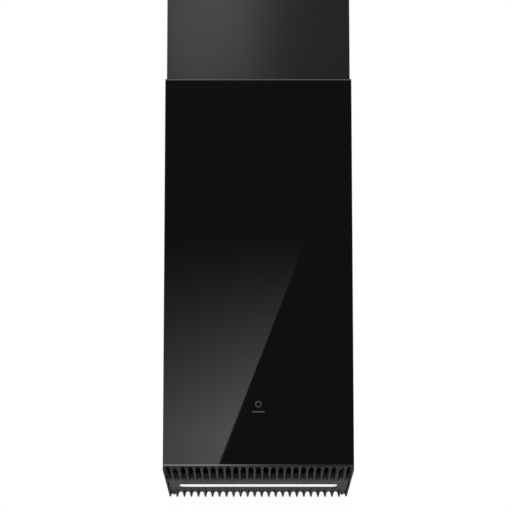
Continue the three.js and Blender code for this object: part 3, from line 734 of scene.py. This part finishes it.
def expanded_mesh():
    """Pleated expanded metal: a lattice of diamonds whose points lie on the pleats."""
    half, low, high = mesh_high.x, mesh_low.z + 0.5, mesh_high.z - 0.5
    steps = PLEATS * PLEAT_STEPS
    length = mesh_high.y - mesh_low.y
    points, numbers, faces = [], {}, []
    for row in range(MESH_ROWS + 1):
        for column in range(steps + 1):
            if (row + column) % 2:
                continue
            along = column % PLEAT_STEPS
            rise = min(along, PLEAT_STEPS - along) / (PLEAT_STEPS / 2)
            x = -half + 2 * half * column / steps
            numbers[row, column] = len(points)
            points.append((x, mesh_low.y + length * row / MESH_ROWS, low + (high - low) * rise))
    for row in range(1, MESH_ROWS):
        for column in range(1, steps):
            if (row + column) % 2:
                around = ((row, column - 1), (row - 1, column), (row, column + 1), (row + 1, column))
                faces.append([numbers[key] for key in around])
    return points, faces


def mesh_piece():
    piece = object_of("filter_expanded_mesh", expanded_mesh())
    wire = piece.modifiers.new("strands", "WIREFRAME")
    wire.thickness = 0.6 * MM
    wire.use_even_offset = False
    wire.use_boundary = True
    return apply_modifiers(piece)


def sweep(path, radius, segments=16):
    """A round wire along a path of points."""
    spots = [Vector(point) for point in path]
    rings, side = [], None
    for i, here in enumerate(spots):
        way = (spots[min(i + 1, len(spots) - 1)] - spots[max(i - 1, 0)]).normalized()
        side = way.orthogonal() if side is None else side - way * side.dot(way)
        side.normalize()
        up = way.cross(side)
        turns = [2 * math.pi * k / segments for k in range(segments)]
        rings.append([tuple(here + (side * math.cos(t) + up * math.sin(t)) * radius) for t in turns])
    return skin(rings)


def bail_wire():
    half, reach, turned_in = 32, 34, 14
    plan = symmetric([(half - turned_in, BAIL_Y), (half, BAIL_Y), (half, BAIL_Y + reach)])
    return sweep(rounded_path([(x, y, BAIL_Z) for x, y in plan], 4.5, 8), 1.5)


# The filter is near black: its coating, and painted shade for the gaps seen between the fins.
finish_piece(filter_frame_piece(), "filter_black", "comb", ["filter_frame"], edge=0.5)
finish_piece(mesh_piece(), "filter_black", "comb", ["filter_mesh"])
add_piece("filter_wire_handle", bail_wire(), "zinc_steel", "filter_bail", ["filter_handle"])

# ---- Back of the body --------------------------
back_low, back_high = box_mm("back_panel")
hook_low, hook_high = box_mm("wall_hook_right")
BEADS = (110, 190, 270, 350, 430)  # heights of the stiffening beads
BEAD_HALF = 118
LOWER_FIXING = (110, 69)  # middle of the lower slots, to the side and up


def bead_outline(z, w):
    return [(x, z + h) for x, h in stadium(-BEAD_HALF - w, BEAD_HALF + w, -w, w, 8)]


def bead_solid(z, shallow, deep, grow):
    """A long bead with round ends and slanted sides, between two depths."""
    return prism("y", bead_outline(z, 7.5 + grow), shallow, deep, bead_outline(z, 4 + grow))


def back_panel_piece():
    sheet = block(back_low.x, back_high.x, back_low.y, back_high.y, back_low.z, back_high.z)
    piece = object_of("back_panel_sheet", sheet)
    combine(piece, "UNION", *[bead_solid(z, -0.5, -3.8, 1) for z in BEADS])
    holes = [bead_solid(z, 0.8, -2.8, 0) for z in BEADS]
    for side in (-1, 1):
        window = sorted((side * (hook_low.x - 4), side * (hook_high.x + 4)))
        holes.append(block(*window, -5, 5, hook_low.z - 4, hook_high.z + 3))
        slot = [(side * LOWER_FIXING[0] + x, LOWER_FIXING[1] + z) for x, z in stadium(-9, 9, -3, 3, 8)]
        holes.append(prism("y", slot, -5, 5))
    return combine(piece, "DIFFERENCE", *holes)


finish_piece(back_panel_piece(), "galvanised_steel", "hood_body", ["back_panel"], edge=0.12)

# ---- Blower ------------------------------------
AXIS_Y = -190  # the impeller's axis
AXIS_Z = 330
scroll_high = box_mm("scroll_half_right")[1]
TONGUE = 65  # degrees from the wall side up, where the spiral starts
SPIRAL = (106, 156)  # its radii at the start and the end
SPIRAL_STEPS = 90
SCROLL_WALL = 1.5
INLET_RADIUS = 80
OUTLET_FRONT = -160


def scroll_outline(inset, top):
    """The spiral wall and its outlet, drawn in by an inset."""
    outline = [(scroll_high.y - inset, top)]
    for i in range(SPIRAL_STEPS + 1):
        share = 1 - i / SPIRAL_STEPS
        turn = math.radians(TONGUE + (360 - TONGUE) * share)
        radius = SPIRAL[0] + (SPIRAL[1] - SPIRAL[0]) * share - inset
        outline.append((AXIS_Y + radius * math.cos(turn), AXIS_Z + radius * math.sin(turn)))
    outline.append((OUTLET_FRONT + inset, top))
    return outline[::-1]


def scroll_piece(side):
    name = SIDES[side]
    seam, outer = sorted((0.2, scroll_high.x))
    parts = [
        prism("x", scroll_outline(0, scroll_high.z), seam, outer),
        prism("x", scroll_outline(SCROLL_WALL, scroll_high.z + 9), -5, outer - SCROLL_WALL),
        rod("x", INLET_RADIUS, 60, 90, AXIS_Y, AXIS_Z, 96),
    ]
    shell, hollow, inlet = [mirrored(part) for part in parts] if side < 0 else parts
    piece = combine(object_of(f"scroll_shell_{name}", shell), "DIFFERENCE", hollow, inlet)
    finish_piece(piece, "black_plastic", "hood_body", [f"scroll_half_{name}"], edge=0.25)


BLADES = 24


def blade_solid(number):
    """One forward-curved blade of the wheel."""
    lean, middle, chord, belly, half_thick = 0.6, 90, 7.4, 1.6, 0.6
    path = [(chord * t / 5, belly * (1 - (t / 5) ** 2) - belly / 2) for t in range(-5, 6)]
    outline = [(s, h + half_thick) for s, h in path] + [(s, h - half_thick) for s, h in reversed(path)]
    turn = 2 * math.pi * number / BLADES
    placed = []
    for s, h in outline:
        radial = middle + s * math.cos(lean) - h * math.sin(lean)
        across = s * math.sin(lean) + h * math.cos(lean)
        placed.append((
            AXIS_Y + radial * math.cos(turn) - across * math.sin(turn),
            AXIS_Z + radial * math.sin(turn) + across * math.cos(turn),
        ))
    return prism("x", placed, -64.7, 64.7)


def wheel_piece():
    rims = [(4.4, 97.9, 10, 12), (90, 97.9, -66, -64), (90, 97.9, 64, 66)]
    piece = object_of("impeller_wheel", joined(*[ring("x", *rim, AXIS_Y, AXIS_Z) for rim in rims]))
    hub = ring("x", 4.4, 14, 11, 28, AXIS_Y, AXIS_Z)
    return combine(piece, "UNION", hub, *[blade_solid(i) for i in range(BLADES)])


def motor_solid():
    profile = [
        (4.8, -56), (4.8, 2), (15, 2), (17, 1.4), (38, -2.4), (51, -7), (52, -8.5), (52, -24),
        (50.8, -24.6), (50.8, -35.4), (52, -36), (52, -51.5), (51, -53), (38, -56), (31, -61.4),
        (29, -62), (0, -62), (0, -56),
    ]
    return lathe("x", profile, AXIS_Y, AXIS_Z, 72)


SPOKES = 48  # places round a cartridge's face, with a slot on each that is clear of the grips
SLOT_CORNERS = ((52, -1.4), (102, -2.6), (102, 2.6), (52, 1.4))
GRIPS = 4
GRIP_CORNERS = ((40, -2.5), (102, -2.5), (102, 2.5), (40, 2.5))


def spoke(turn, corners, start, end):
    """A bar that runs outwards from the impeller's axis; its corners are (along, across)."""
    along = Vector((math.cos(turn), math.sin(turn)))
    across = Vector((-along.y, along.x))
    axis = Vector((AXIS_Y, AXIS_Z))
    return prism("x", [tuple(axis + along * r + across * w) for r, w in corners], start, end)


def cartridge_piece(side):
    """A round carbon cartridge with four grips and a slotted outer face."""
    name = SIDES[side]
    profile = [
        (0, 90), (109.4, 90), (111.4, 90.8), (112, 92.4), (112, 113), (111.2, 115.4), (108, 117), (46, 117),
        (42.6, 119.4), (41, 120), (0, 120),
    ]
    body = lathe("x", profile, AXIS_Y, AXIS_Z, 96)
    quarter = SPOKES // GRIPS
    clear = [i for i in range(SPOKES) if i % quarter not in (0, 1, quarter - 1)]
    slots = [spoke(2 * math.pi * i / SPOKES, SLOT_CORNERS, 115.6, 119) for i in clear]
    grips = [spoke(2 * math.pi * i / GRIPS, GRIP_CORNERS, 116.5, 121.5) for i in range(GRIPS)]
    if side < 0:
        body, slots, grips = mirrored(body), [mirrored(s) for s in slots], [mirrored(g) for g in grips]
    piece = combine(object_of(f"carbon_cartridge_{name}", body), "DIFFERENCE", *slots)
    combine(piece, "UNION", *grips)
    finish_piece(piece, "carbon_cartridge", f"{name}_cartridge", [f"carbon_filter_{name}"], edge=0.4)


for side in SIDES:
    scroll_piece(side)
    cartridge_piece(side)
finish_piece(wheel_piece(), "black_plastic", "rotor", ["impeller"])
add_piece("motor_can", motor_solid(), "motor_casing", "hood_body", ["motor"])

# ---- Outlet collar and non-return flaps --------
collar_low, collar_high = box_mm("outlet_collar")
COLLAR_Y = (collar_low.y + collar_high.y) / 2
COLLAR_RADIUS = 75
DAMPER_Z = 704
FLANGE_Z = BODY_TOP + 0.3
FLANGE_CIRCLE = 84  # radius that the flange's four screws stand on


def collar_solid():
    inner, outer, low, high = COLLAR_RADIUS - 2, COLLAR_RADIUS, collar_low.z, collar_high.z
    flange, rim, bead, stop = FLANGE_Z, 92, high - 14, inner - 4.5
    profile = [
        (inner, low + 0.6), (inner + 0.6, low), (outer - 0.6, low), (outer, low + 0.6),
        (outer, flange), (rim - 0.5, flange), (rim, flange + 0.4), (rim, flange + 1.1),
        (rim - 0.5, flange + 1.5), (outer + 1, flange + 1.5), (outer, flange + 2.5),
        (outer, bead - 2.4), (outer + 1, bead - 1), (outer + 1, bead + 1), (outer, bead + 2.4),
        (outer, high - 0.6), (outer - 0.6, high), (inner + 0.6, high), (inner, high - 0.6),
        (inner, DAMPER_Z - 5), (stop, DAMPER_Z - 5), (stop, DAMPER_Z - 7), (inner, DAMPER_Z - 7),
    ]
    return lathe("z", profile, 0, COLLAR_Y, 128)


FLAP_RADIUS = 71.3
FLAP_GAP = 1.2  # from the pin's axis to a leaf's straight edge
FLAP_LOW = DAMPER_Z - 4.4
KNUCKLES = (-46, 18)  # on the rear flap, and mirrored on the front one
KNUCKLE_HALF = 12


def flap_piece(side):
    """Half of a butterfly valve; side is +1 towards the wall."""
    name = "rear" if side > 0 else "front"
    gap = math.degrees(math.asin(FLAP_GAP / FLAP_RADIUS))
    start = 0 if side > 0 else 180
    half_disc = arc((0, COLLAR_Y), FLAP_RADIUS, start + gap, start + 180 - gap, 72)
    leaf = prism("z", half_disc, FLAP_LOW, DAMPER_Z - 3)
    extras = []
    for x in sorted(side * x for x in KNUCKLES):
        reach = (x - KNUCKLE_HALF, x + KNUCKLE_HALF)
        extras.append(rod("x", 3.2, *reach, COLLAR_Y, DAMPER_Z, 40))
        edge = sorted((COLLAR_Y + side * 1.9, COLLAR_Y + side * 6))
        extras.append(block(*reach, *edge, FLAP_LOW, DAMPER_Z - 0.8))
    for x in (-40, 0, 40):
        rib = sorted((COLLAR_Y + side * 18, COLLAR_Y + side * (52 if x else 64)))
        extras.append(block(x - 0.7, x + 0.7, *rib, DAMPER_Z - 3.4, DAMPER_Z - 1.6))
    piece = combine(object_of(f"damper_leaf_{name}", leaf), "UNION", *extras)
    others = sorted(-side * x for x in KNUCKLES)
    bores = [rod("x", 4, x - KNUCKLE_HALF - 1, x + KNUCKLE_HALF + 1, COLLAR_Y, DAMPER_Z, 40) for x in others]
    combine(piece, "DIFFERENCE", *bores, rod("x", 1.9, -80, 80, COLLAR_Y, DAMPER_Z, 32))
    finish_piece(piece, "grey_plastic", f"{name}_flap", [f"damper_flap_{name}"])


def pan_screw(axis, a, b, seat, outward, shank):
    """A screw with a low domed head on a face, as a closed profile."""
    rise = [(0, -shank), (2, -shank), (2, -0.05), (4, -0.05), (4, 0.2), (3.5, 0.95), (2.3, 1.4), (0, 1.55)]
    return lathe(axis, [(r, seat + outward * h) for r, h in rise], a, b, 40)


def cross_recess(axis, a, b, seat, outward):
    reach = sorted((seat + outward * 0.8, seat + outward * 4))
    arms = []
    for w, h in ((1.9, 0.45), (0.45, 1.9)):
        arms.append(prism(axis, [(a - w, b - h), (a + w, b - h), (a + w, b + h), (a - w, b + h)], *reach))
    return arms


def screws_piece(name, axis, places, seat, outward, shank, body, nodes=()):
    screws = [pan_screw(axis, a, b, seat, outward, shank) for a, b in places]
    recesses = [tool for a, b in places for tool in cross_recess(axis, a, b, seat, outward)]
    piece = combine(object_of(name, joined(*screws)), "DIFFERENCE", *recesses)
    finish_piece(piece, "zinc_steel", body, nodes)


adapter_low, adapter_high = box_mm("outlet_adapter")
ADAPTER_WALL = 1.6
ADAPTER_RADIUS = COLLAR_RADIUS + 2.2  # where it fits round the collar
ADAPTER_ROUND = 636  # round from this height up
ADAPTER_SQUARE = 20  # height of its square foot
ADAPTER_POINTS = 128


def adapter_ring(inset, share, z):
    """One level of the outlet adapter: the blower's rectangle at share 0, the collar's circle at 1."""
    middle, deep = (OUTLET_FRONT + scroll_high.y) / 2, (scroll_high.y - OUTLET_FRONT) / 2 - inset
    level = []
    for i in range(ADAPTER_POINTS):
        turn = 2 * math.pi * i / ADAPTER_POINTS
        way = Vector((math.cos(turn), math.sin(turn)))
        reach = 1 / max(abs(way.x) / (scroll_high.x - inset), abs(way.y) / deep)
        square = way * reach + Vector((0, middle))
        circle = way * (ADAPTER_RADIUS - inset) + Vector((0, COLLAR_Y))
        level.append((*square.lerp(circle, share), z))
    return level


def adapter_solid():
    foot = adapter_low.z + ADAPTER_SQUARE
    levels = [(0, adapter_low.z)]
    for step in range(13):
        t = step / 12
        levels.append((t * t * (3 - 2 * t), foot + (ADAPTER_ROUND - foot) * t))
    levels.append((1, adapter_high.z))
    outside = [adapter_ring(0, share, z) for share, z in levels]
    inside = [adapter_ring(ADAPTER_WALL, share, z) for share, z in reversed(levels)]
    return skin(outside + inside, closed=True)


add_piece("outlet_adapter_duct", adapter_solid(), "black_plastic", "hood_body", ["outlet_adapter"])
add_piece("outlet_collar_ring", collar_solid(), "black_plastic", "hood_body", ["outlet_collar"])
flap_piece(1)
flap_piece(-1)
flange_screws = arc((0, COLLAR_Y), FLANGE_CIRCLE, 45, 315, 3)
screws_piece("collar_screws", "z", flange_screws, FLANGE_Z + 1.5, 1, 0.4, "hood_body")

# ---- Small round pieces ------------------------
gland_low, gland_high = box_mm("cable_gland")
ring_low, ring_high = box_mm("inlet_ring_right")
capacitor_low, capacitor_high = box_mm("motor_capacitor")
shaft_low, shaft_high = box_mm("motor_shaft")
pin_low, pin_high = box_mm("damper_pin")


def gland_solid():
    middle, low, high, seat = (gland_low + gland_high) / 2, gland_low.z, gland_high.z, FLANGE_Z
    profile = [
        (4.5, low + 0.4), (4.9, low), (7.5, low), (7.9, low + 0.4), (7.9, seat), (11.6, seat),
        (12, seat + 0.4), (12, seat + 3.6), (11.4, seat + 4.2), (10.7, seat + 5), (9.3, high - 1),
        (8.5, high), (5.3, high), (4.5, high - 0.7),
    ]
    return lathe("z", profile, middle.x, middle.y, 64)


def capacitor_solid():
    low, high, middle = capacitor_low.x, capacitor_high.x, (capacitor_low + capacitor_high) / 2
    profile = [
        (0, low), (12.6, low), (13.6, low + 0.4), (14, low + 1.4), (14, high - 4), (13.4, high - 3.4),
        (13.4, high - 2.4), (14, high - 1.8), (14, high - 0.8), (13.2, high), (0, high),
    ]
    return lathe("x", profile, middle.y, middle.z, 64)


def inlet_ring_solid():
    a, b, outer = ring_low.x, ring_high.x, ring_high.z - AXIS_Z
    inner = outer - 3
    profile = [(inner, a), (outer, a), (outer, b - 0.8), (outer - 0.8, b), (inner + 0.8, b), (inner, b - 0.8)]
    return lathe("x", profile, AXIS_Y, AXIS_Z, 128)


add_piece("cable_gland_body", gland_solid(), "black_plastic", "hood_body", ["cable_gland"])
add_piece("capacitor_can", capacitor_solid(), "grey_plastic", "hood_body", ["motor_capacitor"])
for side, name in SIDES.items():
    collar = inlet_ring_solid() if side > 0 else mirrored(inlet_ring_solid())
    add_piece(f"inlet_collar_{name}", collar, "black_plastic", "hood_body", [f"inlet_ring_{name}"])
shaft = rod("x", 4, shaft_low.x, shaft_high.x, AXIS_Y, AXIS_Z, 48, 0.5)
add_piece("blower_shaft", shaft, "zinc_steel", "rotor", ["motor_shaft"])
pin = rod("x", 1.5, pin_low.x, pin_high.x, COLLAR_Y, DAMPER_Z, 32, 0.2)
add_piece("flap_pin", pin, "zinc_steel", "hood_body", ["damper_pin"])

# ---- Chimney covers ----------------------------
lower_low, lower_high = box_mm("chimney_lower")
upper_low, upper_high = box_mm("chimney_upper")
VENT_HALF = 1.75
VENT_HEIGHTS = [990 + VENT_HALF + 8 * row for row in range(5)]
COVER_SCREW = (-24, 1018)  # (y, z) of the screw in each side of the upper cover


def cover_solid(low, high, flange):
    """A bent sheet cover, open to the wall, with a return flange along each side."""
    path = symmetric([(high.x - flange, high.y), (high.x, high.y), (high.x, low.y)])
    return prism("z", sheet_outline(rounded_path(path, 1.8), SHEET), low.z, high.z)


def vent_slots():
    slots = []
    for z in VENT_HEIGHTS:
        outline = [(y, z + h) for y, h in stadium(-265, -115, -VENT_HALF, VENT_HALF, 6)]
        slots += [prism("x", outline, -170, -140), prism("x", outline, 140, 170)]
    return slots


lower = cover_solid(lower_low, lower_high, 18)
add_piece("chimney_lower_cover", lower, "chimney_paint", "hood_body", ["chimney_lower"], edge=0.12)
upper = object_of("chimney_upper_cover", cover_solid(upper_low, upper_high, 16))
combine(upper, "DIFFERENCE", *vent_slots())
finish_piece(upper, "chimney_paint", "upper_cover", ["chimney_upper"])
for side, name in SIDES.items():
    seat, nodes = side * (upper_high.x + 0.15), [f"chimney_screw_{name}"]
    screws_piece(f"cover_screw_{name}", "x", [COVER_SCREW], seat, side, 9, "upper_cover", nodes)


# ---- Other CAD nodes ---------------------------
SLOTS = {row["node"]: row["material_slot"] for row in frame["record"]["subparts"]}


def dress_nodes():
    """Every other CAD node keeps its shape and gets its material."""
    for name, node in frame["nodes"].items():
        if node.hide_render:
            continue
        node.data.materials.clear()
        node.data.materials.append(LOOKS[SLOTS[name]])
        soften(node, 0.2, segments=1)


dress_nodes()


# ---- Stage -------------------------------------
def show_camera(tree, seen, others, socket):
    """Leads one shader to camera rays and another to all other rays."""
    mix, ray = tree.nodes.new("ShaderNodeMixShader"), tree.nodes.new("ShaderNodeLightPath")
    tree.links.new(ray.outputs["Is Camera Ray"], mix.inputs["Fac"])
    tree.links.new(others, mix.inputs[1])
    tree.links.new(seen, mix.inputs[2])
    tree.links.new(mix.outputs["Shader"], socket)


def add_floor():
    """A pale floor that stays pale in the distance."""
    bpy.ops.mesh.primitive_plane_add(size=60, location=place((0, -2000, -1500)))
    floor = bpy.context.object
    floor.name = "floor"
    surface = Surface("floor", (0.55, 0.55, 0.55), 0.7)
    surface.roughness(surface.noise(3, 3), 0.65, 0.75)
    glow = surface.nodes.new("ShaderNodeEmission")
    glow.inputs["Strength"].default_value = 0.92
    both = surface.nodes.new("ShaderNodeAddShader")
    plain, out = surface.shader.outputs["BSDF"], surface.nodes["Material Output"].inputs["Surface"]
    surface.links.new(plain, both.inputs[0])
    surface.links.new(glow.outputs["Emission"], both.inputs[1])
    show_camera(surface, both.outputs["Shader"], plain, out)
    floor.data.materials.append(surface.material)


ROOM = 0.11  # how bright the room is, wherever no light or card is


def add_world():
    world = bpy.data.worlds.new("studio")
    bpy.context.scene.world = world
    world.use_nodes = True
    nodes = world.node_tree.nodes
    room, paper = nodes["Background"], nodes.new("ShaderNodeBackground")
    room.inputs["Color"].default_value = (*grey(ROOM), 1)
    paper.inputs["Color"].default_value = (1, 1, 1, 1)
    out = nodes["World Output"].inputs["Surface"]
    show_camera(world.node_tree, paper.outputs["Background"], room.outputs["Background"], out)


def add_softbox(name, position, aim, width, height, power):
    data = bpy.data.lights.new(name, "AREA")
    data.shape = "RECTANGLE"
    data.size, data.size_y = width, height
    data.energy = power
    light = add_object(name, data)
    stand(light, position, aim)
    return light


def add_lights():
    overhead = add_softbox("overhead", (0, -1500, 3400), (0, -600, 0), 4.0, 4.0, 260)
    overhead.visible_glossy = False
    add_softbox("left_side", (-3000, -1600, 700), (0, -300, 400), 3.0, 3.0, 60)
    add_softbox("right_side", (3200, -1200, 900), (0, -300, 400), 3.0, 3.0, 25)
    add_softbox("behind", (400, 2600, 3600), (0, 0, 400), 2.0, 2.0, 130)
    add_softbox("below", (0, -1800, -1400), (0, -250, 0), 2.0, 1.2, 19)


# Cards are seen only as reflections. The mirror image of a point on the glass lies on a plane this far in
# front of the glass, at a place that follows from the eye's.
CARD_AHEAD = 6000


def reflected(x, z):
    """Where the card shows at a point (x, z) of the glass."""
    spread = CARD_AHEAD / EYE_AHEAD
    return x + (x + EYE_LEFT) * spread, z + (z + EYE_BELOW) * spread


class Card:
    """A sheet of light that only reflections see."""

    def __init__(self, name, corners):
        mesh = bpy.data.meshes.new(name)
        mesh.from_pydata([place(corner) for corner in corners], [], [list(range(len(corners)))])
        sheet = add_object(name, mesh)
        sheet.visible_camera = sheet.visible_diffuse = sheet.visible_shadow = False
        material = bpy.data.materials.new(name)
        material.use_nodes = True
        mesh.materials.append(material)
        self.nodes, self.links = material.node_tree.nodes, material.node_tree.links
        self.nodes.remove(self.nodes["Principled BSDF"])
        self.axes = self.nodes.new("ShaderNodeSeparateXYZ")
        self.links.new(self.nodes.new("ShaderNodeTexCoord").outputs["Object"], self.axes.inputs["Vector"])

    def fade(self, axis, start, end, low, high):
        """A value that runs from low to high between two places along an axis, in metres."""
        node = self.nodes.new("ShaderNodeMapRange")
        self.links.new(self.axes.outputs[axis], node.inputs["Value"])
        for key, value in (("From Min", start), ("From Max", end), ("To Min", low), ("To Max", high)):
            node.inputs[key].default_value = value
        return node.outputs["Result"]

    def math(self, operation, *values):
        node = self.nodes.new("ShaderNodeMath")
        node.operation = operation
        for socket, value in zip(node.inputs, values):
            if isinstance(value, (int, float)):
                socket.default_value = value
            else:
                self.links.new(value, socket)
        return node.outputs["Value"]

    def glow(self, strength):
        light = self.nodes.new("ShaderNodeEmission")
        self.links.new(strength, light.inputs["Strength"])
        self.links.new(light.outputs["Emission"], self.nodes["Material Output"].inputs["Surface"])


def level_card(name, front, back, height):
    corners = [(-1500, front), (1500, front), (1500, back), (-1500, back)]
    return Card(name, [(x, y, height) for x, y in corners])


def mirrored_place(x, z):
    """The frame's place, in metres, that a point of the glass reflects."""
    across, up = reflected(x, z)
    return place((across, 0, up))


def front_card(name, corners):
    spots = [reflected(*corner) for corner in corners]
    return Card(name, [(x, FACE - CARD_AHEAD, z) for x, z in spots])


def add_low_card():
    """The pale band that the lower left of the glass reflects: brighter downwards and to the right."""
    card = front_card("card_low", [(-78, -20), (91, 420), (-400, 420), (-400, -20)])
    rise = card.fade("Z", mirrored_place(0, 60).z, mirrored_place(0, 420).z, 1.0, 0.0)
    curve = card.math("POWER", rise, 1.8)
    side = card.fade("X", mirrored_place(-HALF, 0).x, mirrored_place(60, 0).x, 1.05, 2.2)
    card.glow(card.math("MULTIPLY_ADD", curve, side, ROOM))


def add_high_card():
    """The wide soft light that the left half of the chimney reflects."""
    card = front_card("card_high", [(-15, 684), (8, 808), (140, 1400), (-500, 1400), (-500, 684)])
    card.glow(card.fade("Z", mirrored_place(0, 690).z, mirrored_place(0, 790).z, 2.6, 1.65))


def add_ceiling_card():
    """What the glass's upper bevel reflects, a little brighter on the left."""
    card = level_card("card_ceiling", -2600, 300, 3300)
    card.glow(card.fade("X", -0.35, 0.35, 2.0, 1.25))


def add_sill_card():
    """What the glass's lower bevel reflects, brighter on the left."""
    card = level_card("card_sill", -1650, -1180, -1480)
    side = card.fade("X", -0.1, 0.22, 1.0, 0.0)
    card.glow(card.math("MULTIPLY_ADD", card.math("POWER", side, 3.5), 4.1, 0.45))


def add_cards():
    add_sill_card()
    add_low_card()
    add_high_card()
    add_ceiling_card()


add_floor()
add_world()
add_lights()
add_cards()
bpy.context.scene.view_settings.view_transform = "Standard"
